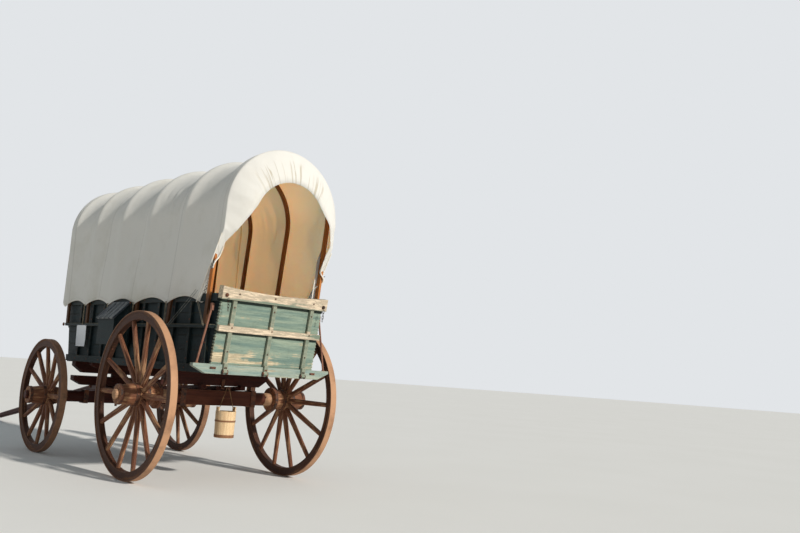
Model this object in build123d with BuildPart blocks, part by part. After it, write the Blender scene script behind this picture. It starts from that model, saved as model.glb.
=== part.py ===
"""A covered wagon: a plank box with flared ends on a four-wheeled wooden running
gear, six bent bows under a canvas cover, a drop end gate, a side toolbox, a pole
for the team and a pail hung behind the rear axle.

Millimetres. +X is forward, +Y is left, +Z is up. The origin is on the ground,
halfway along the whole wagon. A station is a distance forward of the rear axle.
"""

import math
import os

from build123d import *

os.makedirs("parts", exist_ok=True)

# Clearances
seat_gap = 0.3
running_gap = 0.1
hub_gap = 1.0

# Wheels
track = 1500.0
wheelbase = 1970.0
rear_wheel_radius = 672.0
front_wheel_radius = 541.0
rear_spoke_count = 14
front_spoke_count = 12
tyre_width = 58.0
tyre_thickness = 12.0
felloe_width = 50.0
felloe_depth = 60.0
felloe_joint = 2.0
wheel_dish = 48.0
hub_inner_reach = 207.0
hub_outer_reach = 136.0
hub_end_radius = 76.0
hub_collar_radius = 100.0
hub_seat_radius = 98.0
hub_band_thickness = 6.0
hub_band_width = 26.0
spoke_root_width = 56.0
spoke_waist_width = 46.0
spoke_tip_width = 38.0
spoke_root_depth = 46.0
spoke_waist_depth = 36.0
spoke_tip_depth = 30.0

# Axles
axle_beam_half_width = 360.0
axle_beam_depth = 100.0
rear_beam_height = 127.0
front_beam_height = 117.0
arm_shoulder_radius = 56.0
arm_inner_radius = 36.0
arm_outer_radius = 27.0
arm_nut_radius = 40.0
arm_nut_length = 26.0
clip_width = 44.0
clip_thickness = 7.0

# Bolsters and running gear
bolster_half_width = 480.0
bolster_depth = 90.0
bolster_height = 110.0
bolster_end_height = 45.0
bolster_end_taper = 90.0
rear_gap_height = 40.0
rub_block_height = 31.0
hound_gap_height = 55.0
hound_width = 50.0
rub_block_radius = 80.0
king_pin_radius = 12.0
king_pin_head_radius = 22.0
king_pin_head_height = 10.0
king_pin_overhang = 30.0
reach_width = 60.0
reach_height = 33.0
reach_overhang = 40.0

# Box
bed_rear_station = -660.0
bed_front_station = 2110.0
bed_half_width = 480.0
board_thickness = 22.0
side_height = 615.0
floor_thickness = 25.0
groove_width = 5.0
groove_depth = 3.0
rear_lean = 8.2
front_lean = 12.0
bottom_rail_height = 62.0
bottom_rail_thickness = 30.0
mid_rail_rise = 347.0
mid_rail_height = 28.0
mid_rail_thickness = 50.0
top_rail_height = 60.0
top_rail_thickness = 25.0
rib_width = 36.0
rib_thickness = 22.0
rib_count = 10
rear_rib_margin = 60.0
front_rib_margin = 226.0
end_rail_thickness = 34.0
cross_sill_depth = 60.0
cross_sill_height = 50.0
cross_sill_stations = (420.0, 985.0, 1550.0)

# Rear sill, gate and its hinges
sill_half_width = 640.0
sill_height = 75.0
sill_depth = 45.0
sill_end_height = 22.0
sill_end_taper = 110.0
gate_board_thickness = 24.0
gate_height = 505.0
gate_rib_spread = 368.0
gate_rib_width = 32.0
gate_rib_thickness = 24.0
gate_foot_thickness = 42.0
gate_foot_height = 16.0
gate_mid_rail_thickness = 34.0
gate_mid_rail_height = 46.0
gate_mid_rail_rise = 280.0
gate_top_rail_height = 76.0
gate_top_rail_half_width = 500.0
gate_top_rail_depth = 62.0
gate_top_crown = -24.0
gate_tooth_pitch = 24.0
gate_tooth_depth = 9.0
hinge_pin_radius = 6.0
hinge_eye_radius = 11.0
hinge_lug_thickness = 8.0
hinge_drop = 54.0
rod_radius = 8.0
rod_foot_y = 600.0
rod_top_drop = 105.0
rod_pad_height = 56.0

# Bows and cover. Columns: station of the bow at the box top, backward lean in degrees
bow_table = (
    (2180.0, -4.0),
    (1685.0, -1.0),
    (1150.0, 3.0),
    (605.0, 6.0),
    (-10.0, 7.0),
    (-622.0, 5.5),
)
bow_width = 44.0
bow_thickness = 20.0
bow_spring = 930.0
cloth_thickness = 4.0
cloth_sag_top = 28.0
cloth_sag_side = 12.0
hem_cusp_drop = 76.0
hem_arch_drop = 16.0
hem_lead = 50.0
hem_flare = 3.0
hood_front_station = 2305.0
hood_rear_station = -747.0
hood_rear_lean = 1.5
hood_drop = 12.0
lip_front_station = 2372.0
lip_rear_station = -862.0
lip_thickness = 14.0
lip_drop = 133.0
lip_draw = 150.0
lip_knee = 340.0
rear_hem_station = -745.0
rear_hem_height = 360.0
rear_hem_rise = 1.7

# Toolbox
toolbox_rear_station = 705.0
toolbox_length = 330.0
toolbox_depth = 140.0
toolbox_drop = 170.0
toolbox_back_rise = 217.0
toolbox_front_rise = 64.0
toolbox_wall = 16.0
lid_thickness = 16.0
lid_overhang = 14.0
lid_axis_run = 17.0
lid_rod_radius = 4.0
lid_ear_thickness = 8.0
lid_end_gap = 1.0
lid_groove_depth = 5.0
lid_board_width = 62.0
lid_board_count = 4

# Tongue
tongue_pivot_station = 2380.0
tongue_length = 3350.0
tongue_tail = 120.0
tongue_root_width = 82.0
tongue_root_height = 84.0
tongue_neck_width = 58.0
tongue_neck_height = 58.0
tongue_tip_radius = 27.0
tongue_tip_length = 200.0
tongue_pin_radius = 11.0
tongue_pin_head_radius = 18.0
tongue_pin_head_length = 12.0
evener_bore_radius = 11.0
evener_bore_distance = 330.0
hound_front_station = 2450.0
hound_front_y = 72.0
hound_rear_station = 1300.0
hound_rear_y = 275.0
sway_bar_depth = 50.0
sway_bar_half_width = 315.0
sway_bar_height = 44.0
rear_hound_front_station = 950.0
rear_hound_rear_station = -110.0
rear_hound_y = 190.0
rear_hound_width = 44.0
rear_hound_taper = 180.0

# Pail
pail_station = -140.0
pail_y = -25.0
pail_hang = 412.0
pail_height = 220.0
pail_top_radius = 86.0
pail_bottom_radius = 80.0
pail_wall = 10.0
pail_ear_rise = 36.0
pail_ear_width = 40.0
pail_hoop_thickness = 3.0
# Columns: low and high edge above the pail's bottom
pail_hoop_table = ((4.0, 26.0), (132.0, 146.0))
pail_hook_drop = 13.5
pail_rope_radius = 4.0
pail_knot_radius = 8.0
pail_loop_width = 14.0
pail_hook_radius = 6.0
pail_plate_width = 28.0
pail_plate_thickness = 12.0

# Places worked out from the sizes above. The rear wheels carry the box's height,
# and the front stack is made up to the same height by its sand board.
rear_beam_top = rear_wheel_radius + rear_beam_height / 2
rear_beam_low = rear_wheel_radius - rear_beam_height / 2
front_beam_top = front_wheel_radius + front_beam_height / 2
front_beam_low = front_wheel_radius - front_beam_height / 2
bolster_low = rear_beam_top + rear_gap_height
bed_bottom_z = bolster_low + bolster_height
bed_top_z = bed_bottom_z + side_height
sill_top_z = bed_bottom_z + sill_height
mid_rail_z = bed_bottom_z + mid_rail_rise
sand_low = front_beam_top + hound_gap_height
sand_top = bolster_low - rub_block_height
sand_board_height = sand_top - sand_low
rod_top_z = bed_top_z - rod_top_drop
hem_cusp_z = bed_top_z - hem_cusp_drop
hem_arch_z = bed_top_z - hem_arch_drop
rear_hem_z = bed_top_z + rear_hem_height
toolbox_bottom_z = mid_rail_z - toolbox_drop
toolbox_back_z = mid_rail_z + toolbox_back_rise
toolbox_front_z = mid_rail_z + toolbox_front_rise
pail_hook_z = bolster_low - pail_hook_drop
pail_bottom_z = pail_hook_z - pail_hang
rib_run = bed_front_station - bed_rear_station - rear_rib_margin - front_rib_margin
rib_pitch = rib_run / (rib_count - 1)
rear_tan = math.tan(math.radians(rear_lean))
front_tan = math.tan(math.radians(front_lean))
tongue_pivot_z = front_wheel_radius + front_beam_height / 2 + hound_gap_height / 2
tongue_slope = math.asin(
    tongue_pivot_z / math.hypot(tongue_length, tongue_tip_radius)
) - math.atan2(tongue_tip_radius, tongue_length)
tongue_front = (
    tongue_pivot_station
    + tongue_length * math.cos(tongue_slope)
    + tongue_tip_radius * math.sin(tongue_slope)
)
rear_axle_x = -(lip_rear_station + tongue_front) / 2
front_axle_x = rear_axle_x + wheelbase


def at(station):
    """The x of a station, which is counted forward from the rear axle."""
    return rear_axle_x + station


def save(piece, name):
    """Labels a finished piece and writes it."""
    piece.part.label = name
    export_step(piece.part, f"parts/{name}.step")


def side_plane(y):
    """An upright plane along the wagon, x forward and y up, that faces right."""
    return Plane(origin=(0, y, 0), x_dir=(1, 0, 0), z_dir=(0, -1, 0))


def cross_plane(x):
    """An upright plane across the wagon, x to the left and y up, that faces forward."""
    return Plane(origin=(x, 0, 0), x_dir=(0, 1, 0), z_dir=(1, 0, 0))


def leaning_plane(x, z, lean):
    """A cross plane through (x, z) whose top leans backward by lean degrees."""
    turn = math.radians(lean)
    return Plane(origin=(x, 0, z), x_dir=(0, 1, 0), z_dir=(math.cos(turn), 0, math.sin(turn)))


def wheel(name, axle_x, side, radius, spoke_count):
    """One dished wheel: nave, nave bands, spokes, felloes and tyre."""
    centre = Vector(axle_x, side * track / 2, radius)
    outward = Vector(0, side, 0)
    face = Plane(origin=centre, x_dir=(1, 0, 0), z_dir=outward)
    section = Plane(origin=centre, x_dir=outward, z_dir=(side, 0, 0))
    axle = Axis(centre, outward)
    felloe_outer = radius - tyre_thickness
    felloe_inner = felloe_outer - felloe_depth
    bore_inner = arm_inner_radius + running_gap
    bore_outer = arm_outer_radius + running_gap
    spoke_plane = -wheel_dish
    seat_half = spoke_root_depth / 2 + 4

    with BuildPart() as tyre:
        with BuildSketch(face.offset(-tyre_width / 2)):
            Circle(radius)
            Circle(felloe_outer, mode=Mode.SUBTRACT)
        extrude(amount=tyre_width)
    save(tyre, f"{name}_tyre")

    # Each felloe takes two spokes, and the joints lie between spokes
    with BuildPart() as felloes:
        with BuildSketch(face.offset(-felloe_width / 2)):
            Circle(felloe_outer)
            Circle(felloe_inner, mode=Mode.SUBTRACT)
            with PolarLocations(
                (felloe_outer + felloe_inner) / 2, spoke_count // 2, 180 / spoke_count
            ):
                Rectangle(felloe_depth * 2, felloe_joint, mode=Mode.SUBTRACT)
        extrude(amount=felloe_width)
    save(felloes, f"{name}_felloes")

    # Ends of the nave and the four seats that its bands are driven onto
    inner_end = -hub_inner_reach
    outer_end = hub_outer_reach
    breast_inner = spoke_plane - seat_half
    breast_outer = spoke_plane + seat_half
    band_places = (
        (inner_end, hub_collar_radius),
        (breast_inner - hub_band_width - 6, hub_seat_radius - 10),
        (breast_outer + 6, hub_seat_radius - 10),
        (outer_end - hub_band_width, hub_end_radius),
    )
    with BuildPart() as hub:
        with BuildSketch(section):
            with BuildLine():
                Polyline(
                    (inner_end, bore_inner),
                    (inner_end, hub_collar_radius),
                    (inner_end + hub_band_width, hub_collar_radius),
                    (inner_end + 2 * hub_band_width, hub_end_radius),
                    (band_places[1][0], band_places[1][1]),
                    (breast_inner - 6, band_places[1][1]),
                    (breast_inner, hub_seat_radius),
                    (breast_outer, hub_seat_radius),
                    (breast_outer + 6, band_places[2][1]),
                    (breast_outer + 6 + hub_band_width, band_places[2][1]),
                    (band_places[3][0], hub_end_radius),
                    (outer_end, hub_end_radius),
                    (outer_end, bore_outer),
                    close=True,
                )
            make_face()
        revolve(axis=axle)
    save(hub, f"{name}_hub")

    with BuildPart() as bands:
        with BuildSketch(section):
            for start, seat in band_places:
                with Locations((start + hub_band_width / 2, seat + hub_band_thickness / 2)):
                    Rectangle(hub_band_width, hub_band_thickness)
        revolve(axis=axle)
    save(bands, f"{name}_bands")

    # Spokes run from the nave's seat out to the felloes, and lean out by the dish.
    # Columns: share of the way out, width across the rim, depth along the axle
    spoke_sections = (
        (0.0, spoke_root_width * 0.68, spoke_root_depth),
        (0.16, spoke_waist_width, spoke_waist_depth),
        (1.0, spoke_tip_width, spoke_tip_depth),
    )
    start_radius = hub_seat_radius - 8
    run = felloe_inner + 8 - start_radius
    with BuildPart() as spokes:
        for index in range(spoke_count):
            turn = 2 * math.pi * index / spoke_count
            radial = Vector(math.cos(turn), 0, math.sin(turn))
            rimward = Vector(-math.sin(turn), 0, math.cos(turn))
            along = (radial * run + outward * wheel_dish).normalized()
            for share, width, depth in spoke_sections:
                place = (
                    centre
                    + radial * (start_radius + run * share)
                    + outward * (spoke_plane + wheel_dish * share)
                )
                with BuildSketch(Plane(origin=place, x_dir=rimward, z_dir=along)) as cut:
                    Rectangle(width, depth)
                    chamfer(cut.vertices(), depth * 0.27)
            loft(ruled=True)
        with BuildSketch(face.offset(-hub_inner_reach)):
            Circle(felloe_inner)
            Circle(hub_seat_radius, mode=Mode.SUBTRACT)
        extrude(amount=hub_inner_reach + hub_outer_reach, mode=Mode.INTERSECT)
    save(spokes, f"{name}_spokes")


def axle_tree(name, axle_x, wheel_radius, beam_height, pin_hole):
    """A wooden axle beam with its two tapered arms and their end nuts."""
    arm_start = track / 2 - hub_inner_reach
    arm_end = track / 2 + hub_outer_reach
    with BuildPart() as tree:
        with BuildSketch(cross_plane(axle_x - axle_beam_depth / 2)) as beam:
            with Locations((0, wheel_radius)):
                Rectangle(2 * axle_beam_half_width, beam_height)
            chamfer(beam.vertices(), 14)
        extrude(amount=axle_beam_depth)
        for side in (1, -1):
            arm_plane = Plane(
                origin=(axle_x, 0, wheel_radius), x_dir=(0, side, 0), z_dir=(side, 0, 0)
            )
            with BuildSketch(arm_plane):
                with BuildLine():
                    Polyline(
                        (axle_beam_half_width - 20, 0),
                        (axle_beam_half_width - 20, arm_inner_radius),
                        (axle_beam_half_width, arm_inner_radius),
                        (axle_beam_half_width, arm_shoulder_radius),
                        (arm_start - hub_gap, arm_shoulder_radius),
                        (arm_start - hub_gap, arm_inner_radius),
                        (arm_start, arm_inner_radius),
                        (arm_end, arm_outer_radius),
                        (arm_end + hub_gap, arm_outer_radius),
                        (arm_end + hub_gap, arm_nut_radius),
                        (arm_end + hub_gap + arm_nut_length - 6, arm_nut_radius),
                        (arm_end + hub_gap + arm_nut_length, arm_nut_radius - 8),
                        (arm_end + hub_gap + arm_nut_length, 0),
                        close=True,
                    )
                make_face()
            revolve(axis=Axis((axle_x, 0, wheel_radius), (0, side, 0)))
        if pin_hole:
            with BuildSketch(Plane.XY.offset(wheel_radius - beam_height)):
                with Locations((axle_x, 0)):
                    Circle(king_pin_radius + running_gap)
            extrude(amount=2 * beam_height, mode=Mode.SUBTRACT)
    save(tree, name)


def axle_clips(name, axle_x, low_z, high_z):
    """Two iron clips, each a flat loop round the axle beam near its shoulder."""
    inner_depth = axle_beam_depth + 2 * seat_gap
    with BuildPart() as clips:
        for side in (1, -1):
            with BuildSketch(side_plane(side * (axle_beam_half_width - 22) + clip_width / 2)):
                with Locations((axle_x, (low_z + high_z) / 2)):
                    Rectangle(
                        inner_depth + 2 * clip_thickness,
                        high_z - low_z + 2 * (seat_gap + clip_thickness),
                    )
                    Rectangle(inner_depth, high_z - low_z + 2 * seat_gap, mode=Mode.SUBTRACT)
            extrude(amount=clip_width)
    save(clips, name)


def cross_beam(outline_half, low_z, high_z, end_height, end_taper):
    """The outline of a beam across the wagon whose ends are cut up from below."""
    Polyline(
        (-outline_half, high_z),
        (-outline_half, high_z - end_height),
        (-outline_half + end_taper, low_z),
        (outline_half - end_taper, low_z),
        (outline_half, high_z - end_height),
        (outline_half, high_z),
        close=True,
    )


# Wheels
for side, side_name in ((1, "left"), (-1, "right")):
    wheel(f"rear_{side_name}", rear_axle_x, side, rear_wheel_radius, rear_spoke_count)
    wheel(f"front_{side_name}", front_axle_x, side, front_wheel_radius, front_spoke_count)

# Axles and their clips
axle_tree("rear_axle", rear_axle_x, rear_wheel_radius, rear_beam_height, False)
axle_tree("front_axle", front_axle_x, front_wheel_radius, front_beam_height, True)
axle_clips("rear_clips", rear_axle_x, rear_beam_low, rear_beam_top)
axle_clips("front_clips", front_axle_x, front_beam_low, front_beam_top)

# Rear bolster, which the box rests on
with BuildPart() as rear_bolster:
    with BuildSketch(cross_plane(rear_axle_x - bolster_depth / 2)):
        with BuildLine():
            cross_beam(
                bolster_half_width, bolster_low, bed_bottom_z, bolster_end_height, bolster_end_taper
            )
        make_face()
    extrude(amount=bolster_depth)
save(rear_bolster, "rear_bolster")

# The front bolster turns over the sand board on a round rub block
with BuildPart() as front_bolster:
    with BuildSketch(cross_plane(front_axle_x - bolster_depth / 2)):
        with BuildLine():
            cross_beam(
                bolster_half_width, bolster_low, bed_bottom_z, bolster_end_height, bolster_end_taper
            )
        make_face()
    extrude(amount=bolster_depth)
    with BuildSketch(Plane.XY.offset(sand_top + seat_gap)):
        with Locations((front_axle_x, 0)):
            Circle(rub_block_radius)
    extrude(amount=bolster_low - sand_top - seat_gap)
    with BuildSketch(Plane.XY.offset(sand_top)):
        with Locations((front_axle_x, 0)):
            Circle(king_pin_radius)
    extrude(amount=bed_bottom_z - king_pin_head_height - sand_top, mode=Mode.SUBTRACT)
    with BuildSketch(Plane.XY.offset(bed_bottom_z - king_pin_head_height)):
        with Locations((front_axle_x, 0)):
            Circle(king_pin_head_radius)
    extrude(amount=king_pin_head_height, mode=Mode.SUBTRACT)
save(front_bolster, "front_bolster")

with BuildPart() as king_pin:
    with BuildSketch(Plane.XY.offset(front_beam_low - king_pin_overhang)):
        with Locations((front_axle_x, 0)):
            Circle(king_pin_radius)
    extrude(amount=bed_bottom_z - front_beam_low + king_pin_overhang)
    with BuildSketch(Plane.XY.offset(bed_bottom_z - king_pin_head_height)):
        with Locations((front_axle_x, 0)):
            Circle(king_pin_head_radius)
    extrude(amount=king_pin_head_height)
save(king_pin, "king_pin")

with BuildPart() as sand_board:
    with BuildSketch(cross_plane(front_axle_x - bolster_depth / 2)):
        with BuildLine():
            cross_beam(
                bolster_half_width, sand_low, sand_top, bolster_end_height, bolster_end_taper
            )
        make_face()
    extrude(amount=bolster_depth)
    with BuildSketch(Plane.XY.offset(sand_low)):
        with Locations((front_axle_x, 0)):
            Circle(king_pin_radius + running_gap)
    extrude(amount=sand_board_height, mode=Mode.SUBTRACT)
save(sand_board, "sand_board")

# The reach and the rear hounds lie in one plane that falls towards the front axle
reach_rear_z = rear_beam_top + rear_gap_height / 2
reach_front_z = front_beam_top + hound_gap_height / 2
reach_slope = math.degrees(math.atan2(reach_rear_z - reach_front_z, wheelbase))
reach_plane = Plane(
    origin=(rear_axle_x, 0, reach_rear_z),
    x_dir=(math.cos(math.radians(reach_slope)), 0, -math.sin(math.radians(reach_slope))),
    z_dir=(math.sin(math.radians(reach_slope)), 0, math.cos(math.radians(reach_slope))),
)
reach_run = wheelbase / math.cos(math.radians(reach_slope))
with BuildPart() as reach:
    with BuildSketch(reach_plane) as pole:
        with Locations(((reach_run + king_pin_head_radius * 2 - reach_overhang) / 2, 0)):
            Rectangle(reach_run + king_pin_head_radius * 2 + reach_overhang, reach_width)
    extrude(amount=reach_height / 2, both=True)
    with BuildSketch(Plane.XY.offset(front_beam_low)):
        with Locations((front_axle_x, 0)):
            Circle(king_pin_radius)
    extrude(amount=sand_top - front_beam_low, mode=Mode.SUBTRACT)
save(reach, "reach")

with BuildPart() as rear_hounds:
    for side in (1, -1):
        with BuildSketch(reach_plane):
            with BuildLine():
                inner_y = side * (reach_width / 2)
                outer_y = side * (reach_width / 2 + rear_hound_width)
                root_y = side * (rear_hound_y - rear_hound_width / 2)
                back_y = side * (rear_hound_y + rear_hound_width / 2)
                Polyline(
                    (rear_hound_front_station, inner_y),
                    (rear_hound_front_station, outer_y),
                    (axle_beam_depth / 2, back_y),
                    (rear_hound_rear_station, back_y),
                    (rear_hound_rear_station, root_y),
                    (axle_beam_depth / 2, root_y),
                    (rear_hound_front_station - rear_hound_taper, inner_y),
                    close=True,
                )
            make_face()
        extrude(amount=reach_height / 2, both=True)
save(rear_hounds, "rear_hounds")

# Front hounds: two straight bars through the front gear, and the sway bar behind
with BuildPart() as front_hounds:
    for side in (1, -1):
        with BuildSketch(Plane.XY.offset(front_beam_top)):
            with BuildLine():
                half = hound_width / 2
                Polyline(
                    (at(hound_rear_station), side * (hound_rear_y - half)),
                    (at(hound_rear_station), side * (hound_rear_y + half)),
                    (at(hound_front_station), side * (hound_front_y + half)),
                    (at(hound_front_station), side * (hound_front_y - half)),
                    close=True,
                )
            make_face()
        extrude(amount=hound_gap_height)
    with BuildSketch(side_plane(hound_front_y + hound_width * 2)):
        with Locations((at(tongue_pivot_station), tongue_pivot_z)):
            Circle(tongue_pin_radius + running_gap)
    extrude(amount=2 * (hound_front_y + hound_width * 2), mode=Mode.SUBTRACT)
save(front_hounds, "front_hounds")

with BuildPart() as sway_bar:
    with BuildSketch(Plane.XY.offset(front_beam_top + 5)):
        with Locations((at(hound_rear_station) - sway_bar_depth / 2, 0)):
            Rectangle(sway_bar_depth, 2 * sway_bar_half_width)
    extrude(amount=sway_bar_height)
save(sway_bar, "sway_bar")

# The pole pin goes through both hounds and the pole between them
hound_slope = (hound_rear_y - hound_front_y) / (hound_front_station - hound_rear_station)
jaw_y = (
    hound_front_y
    + hound_width / 2
    + hound_slope * (hound_front_station - tongue_pivot_station + tongue_pin_head_radius)
)
with BuildPart() as tongue_pin:
    with BuildSketch(side_plane(jaw_y)):
        with Locations((at(tongue_pivot_station), tongue_pivot_z)):
            Circle(tongue_pin_radius)
    extrude(amount=2 * jaw_y)
    for side in (1, -1):
        with BuildSketch(side_plane(side * (jaw_y + seat_gap))):
            with Locations((at(tongue_pivot_station), tongue_pivot_z)):
                Circle(tongue_pin_head_radius)
        extrude(amount=-side * tongue_pin_head_length)
        with BuildSketch(side_plane(side * jaw_y)):
            with Locations((at(tongue_pivot_station), tongue_pivot_z)):
                Circle(tongue_pin_radius)
        extrude(amount=-side * seat_gap)
save(tongue_pin, "tongue_pin")

# Tongue: a tapered pole that rests with its round tip on the ground
tongue_dir = Vector(math.cos(tongue_slope), 0, -math.sin(tongue_slope))
tongue_up = Vector(math.sin(tongue_slope), 0, math.cos(tongue_slope))
tongue_pivot = Vector(at(tongue_pivot_station), 0, tongue_pivot_z)
neck_distance = tongue_length - tongue_tip_length
with BuildPart() as tongue:
    for distance, width, height in (
        (-tongue_tail, tongue_root_width, tongue_root_height),
        (evener_bore_distance * 2, tongue_root_width, tongue_root_height),
        (neck_distance, tongue_neck_width, tongue_neck_height),
    ):
        with BuildSketch(
            Plane(origin=tongue_pivot + tongue_dir * distance, x_dir=(0, 1, 0), z_dir=tongue_dir)
        ) as cut:
            Rectangle(width, height)
            chamfer(cut.vertices(), 12)
    loft(ruled=True)
    with BuildSketch(side_plane(tongue_root_width)):
        with Locations((tongue_pivot.X, tongue_pivot.Z)):
            Circle(tongue_pin_radius + running_gap)
    extrude(amount=2 * tongue_root_width, mode=Mode.SUBTRACT)
    with BuildSketch(
        Plane(
            origin=tongue_pivot + tongue_dir * evener_bore_distance - tongue_up * tongue_root_height,
            x_dir=(0, 1, 0),
            z_dir=tongue_up,
        )
    ):
        Circle(evener_bore_radius)
    extrude(amount=2 * tongue_root_height, mode=Mode.SUBTRACT)
save(tongue, "tongue")

# Iron tip cap, which the neck yoke's ring slips over
with BuildPart() as tongue_cap:
    with BuildSketch(
        Plane(origin=tongue_pivot + tongue_dir * neck_distance, x_dir=(0, 1, 0), z_dir=tongue_dir)
    ):
        Circle(tongue_tip_radius)
    extrude(amount=tongue_tip_length)
save(tongue_cap, "tongue_cap")

# Box: floor, sides, side frames and cross sills
with BuildPart() as floor_boards:
    inner_half = bed_half_width - board_thickness
    with BuildSketch(Plane.XY.offset(bed_bottom_z)):
        with Locations((at((bed_rear_station + bed_front_station) / 2), 0)):
            Rectangle(bed_front_station - bed_rear_station, 2 * inner_half)
    extrude(amount=floor_thickness)
    with BuildSketch(Plane.XY.offset(bed_bottom_z + floor_thickness - groove_depth)):
        with Locations((at((bed_rear_station + bed_front_station) / 2), 0)):
            with GridLocations(0, inner_half / 2.5, 1, 4):
                Rectangle(bed_front_station - bed_rear_station, groove_width)
    extrude(amount=groove_depth, mode=Mode.SUBTRACT)
save(floor_boards, "floor_boards")

with BuildPart() as cross_sills:
    for station in cross_sill_stations:
        with BuildSketch(cross_plane(at(station) - cross_sill_depth / 2)):
            with BuildLine():
                cross_beam(
                    bolster_half_width,
                    bed_bottom_z - cross_sill_height,
                    bed_bottom_z,
                    cross_sill_height / 2,
                    cross_sill_height,
                )
            make_face()
        extrude(amount=cross_sill_depth)
save(cross_sills, "cross_sills")


def side_outline():
    """A side's outline: upright at the sill, then both ends lean outwards."""
    Polyline(
        (at(bed_rear_station), bed_bottom_z),
        (at(bed_rear_station), sill_top_z),
        (at(bed_rear_station - (bed_top_z - sill_top_z) * rear_tan), bed_top_z),
        (at(bed_front_station + side_height * front_tan), bed_top_z),
        (at(bed_front_station), bed_bottom_z),
        close=True,
    )


for side, side_name in ((1, "left"), (-1, "right")):
    with BuildPart() as boards:
        with BuildSketch(side_plane(side * bed_half_width)):
            with BuildLine():
                side_outline()
            make_face()
        extrude(amount=side * board_thickness)
        with BuildSketch(side_plane(side * bed_half_width)):
            with Locations((at((bed_rear_station + bed_front_station) / 2), bed_bottom_z)):
                with Locations(*[(0, side_height * share) for share in (0.28, 0.47, 0.76)]):
                    Rectangle(2 * wheelbase, groove_width)
        extrude(amount=side * groove_depth, mode=Mode.SUBTRACT)
    save(boards, f"side_boards_{side_name}")

    rails = (
        (bed_bottom_z, bottom_rail_height, bottom_rail_thickness),
        (mid_rail_z, mid_rail_height, mid_rail_thickness),
        (bed_top_z - top_rail_height, top_rail_height, top_rail_thickness),
    )
    with BuildPart() as frame:
        for low_z, height, thickness in rails:
            with BuildSketch(side_plane(side * bed_half_width)):
                with Locations(
                    (at((bed_rear_station + bed_front_station) / 2), low_z + height / 2)
                ):
                    Rectangle(2 * wheelbase, height)
            extrude(amount=-side * thickness)
        with BuildSketch(side_plane(side * bed_half_width)):
            for index in range(rib_count):
                with Locations(
                    (
                        at(bed_rear_station + rear_rib_margin + rib_pitch * index),
                        bed_bottom_z + side_height / 2,
                    )
                ):
                    Rectangle(rib_width, side_height)
        extrude(amount=-side * rib_thickness)
        with BuildSketch(side_plane(side * bed_half_width)):
            with BuildLine():
                side_outline()
            make_face()
        extrude(amount=-side * mid_rail_thickness, mode=Mode.INTERSECT)
    save(frame, f"side_frame_{side_name}")

# Rear sill with tapered ends, and the lugs and pins that the gate swings on
hinge_x = at(bed_rear_station) - sill_depth - hinge_eye_radius - 2
hinge_z = sill_top_z - hinge_drop
with BuildPart() as rear_sill:
    with BuildSketch(cross_plane(at(bed_rear_station) - sill_depth)):
        with BuildLine():
            cross_beam(
                sill_half_width, bed_bottom_z, sill_top_z, sill_end_height, sill_end_taper
            )
        make_face()
    extrude(amount=sill_depth)
save(rear_sill, "rear_sill")

with BuildPart() as gate_lugs:
    for centre_y in (-gate_rib_spread, 0, gate_rib_spread):
        lug_y = gate_rib_width / 2 + seat_gap + hinge_lug_thickness / 2
        for offset in (-lug_y, lug_y):
            with BuildSketch(side_plane(centre_y + offset + hinge_lug_thickness / 2)):
                with BuildLine():
                    Polyline(
                        (at(bed_rear_station) - sill_depth, hinge_z + hinge_eye_radius + 6),
                        (at(bed_rear_station) - sill_depth, bed_bottom_z + 1),
                        (hinge_x - 4, bed_bottom_z + 1),
                        (hinge_x - hinge_eye_radius, hinge_z),
                        (hinge_x - 4, hinge_z + hinge_eye_radius),
                        close=True,
                    )
                make_face()
            extrude(amount=hinge_lug_thickness)
        with BuildSketch(side_plane(centre_y + lug_y + hinge_lug_thickness / 2 + 3)):
            with Locations((hinge_x, hinge_z)):
                Circle(hinge_pin_radius)
        extrude(amount=2 * lug_y + hinge_lug_thickness + 6)
save(gate_lugs, "gate_lugs")

# Iron rods that stay the box from the ends of the sill
with BuildPart() as brace_rods:
    pad_y = bed_half_width + rib_thickness
    for side in (1, -1):
        foot = Vector(at(bed_rear_station) - sill_depth / 2, side * rod_foot_y, sill_top_z)
        head = Vector(
            at(bed_rear_station) - sill_depth / 2,
            side * (bed_half_width + top_rail_thickness + rod_radius + seat_gap),
            rod_top_z,
        )
        along = (head - foot).normalized()
        with BuildSketch(Plane(origin=foot - along * rod_radius, z_dir=along)):
            Circle(rod_radius)
        extrude(amount=(head - foot).length + rod_radius)
        with BuildSketch(Plane.XY.offset(sill_top_z - 2 * rod_radius)):
            with Locations((foot.X, foot.Y)):
                Rectangle(8 * rod_radius, 8 * rod_radius)
        extrude(amount=2 * rod_radius, mode=Mode.SUBTRACT)
        with BuildSketch(Plane.XY.offset(sill_top_z)):
            with Locations((foot.X, foot.Y)):
                Circle(2 * rod_radius)
        extrude(amount=5)
        with BuildSketch(side_plane(head.Y + side * rod_radius)):
            with Locations((head.X, head.Z)):
                Rectangle(3 * rod_radius, rod_pad_height)
        extrude(amount=side * (abs(head.Y) + rod_radius - pad_y))
save(brace_rods, "brace_rods")

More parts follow.
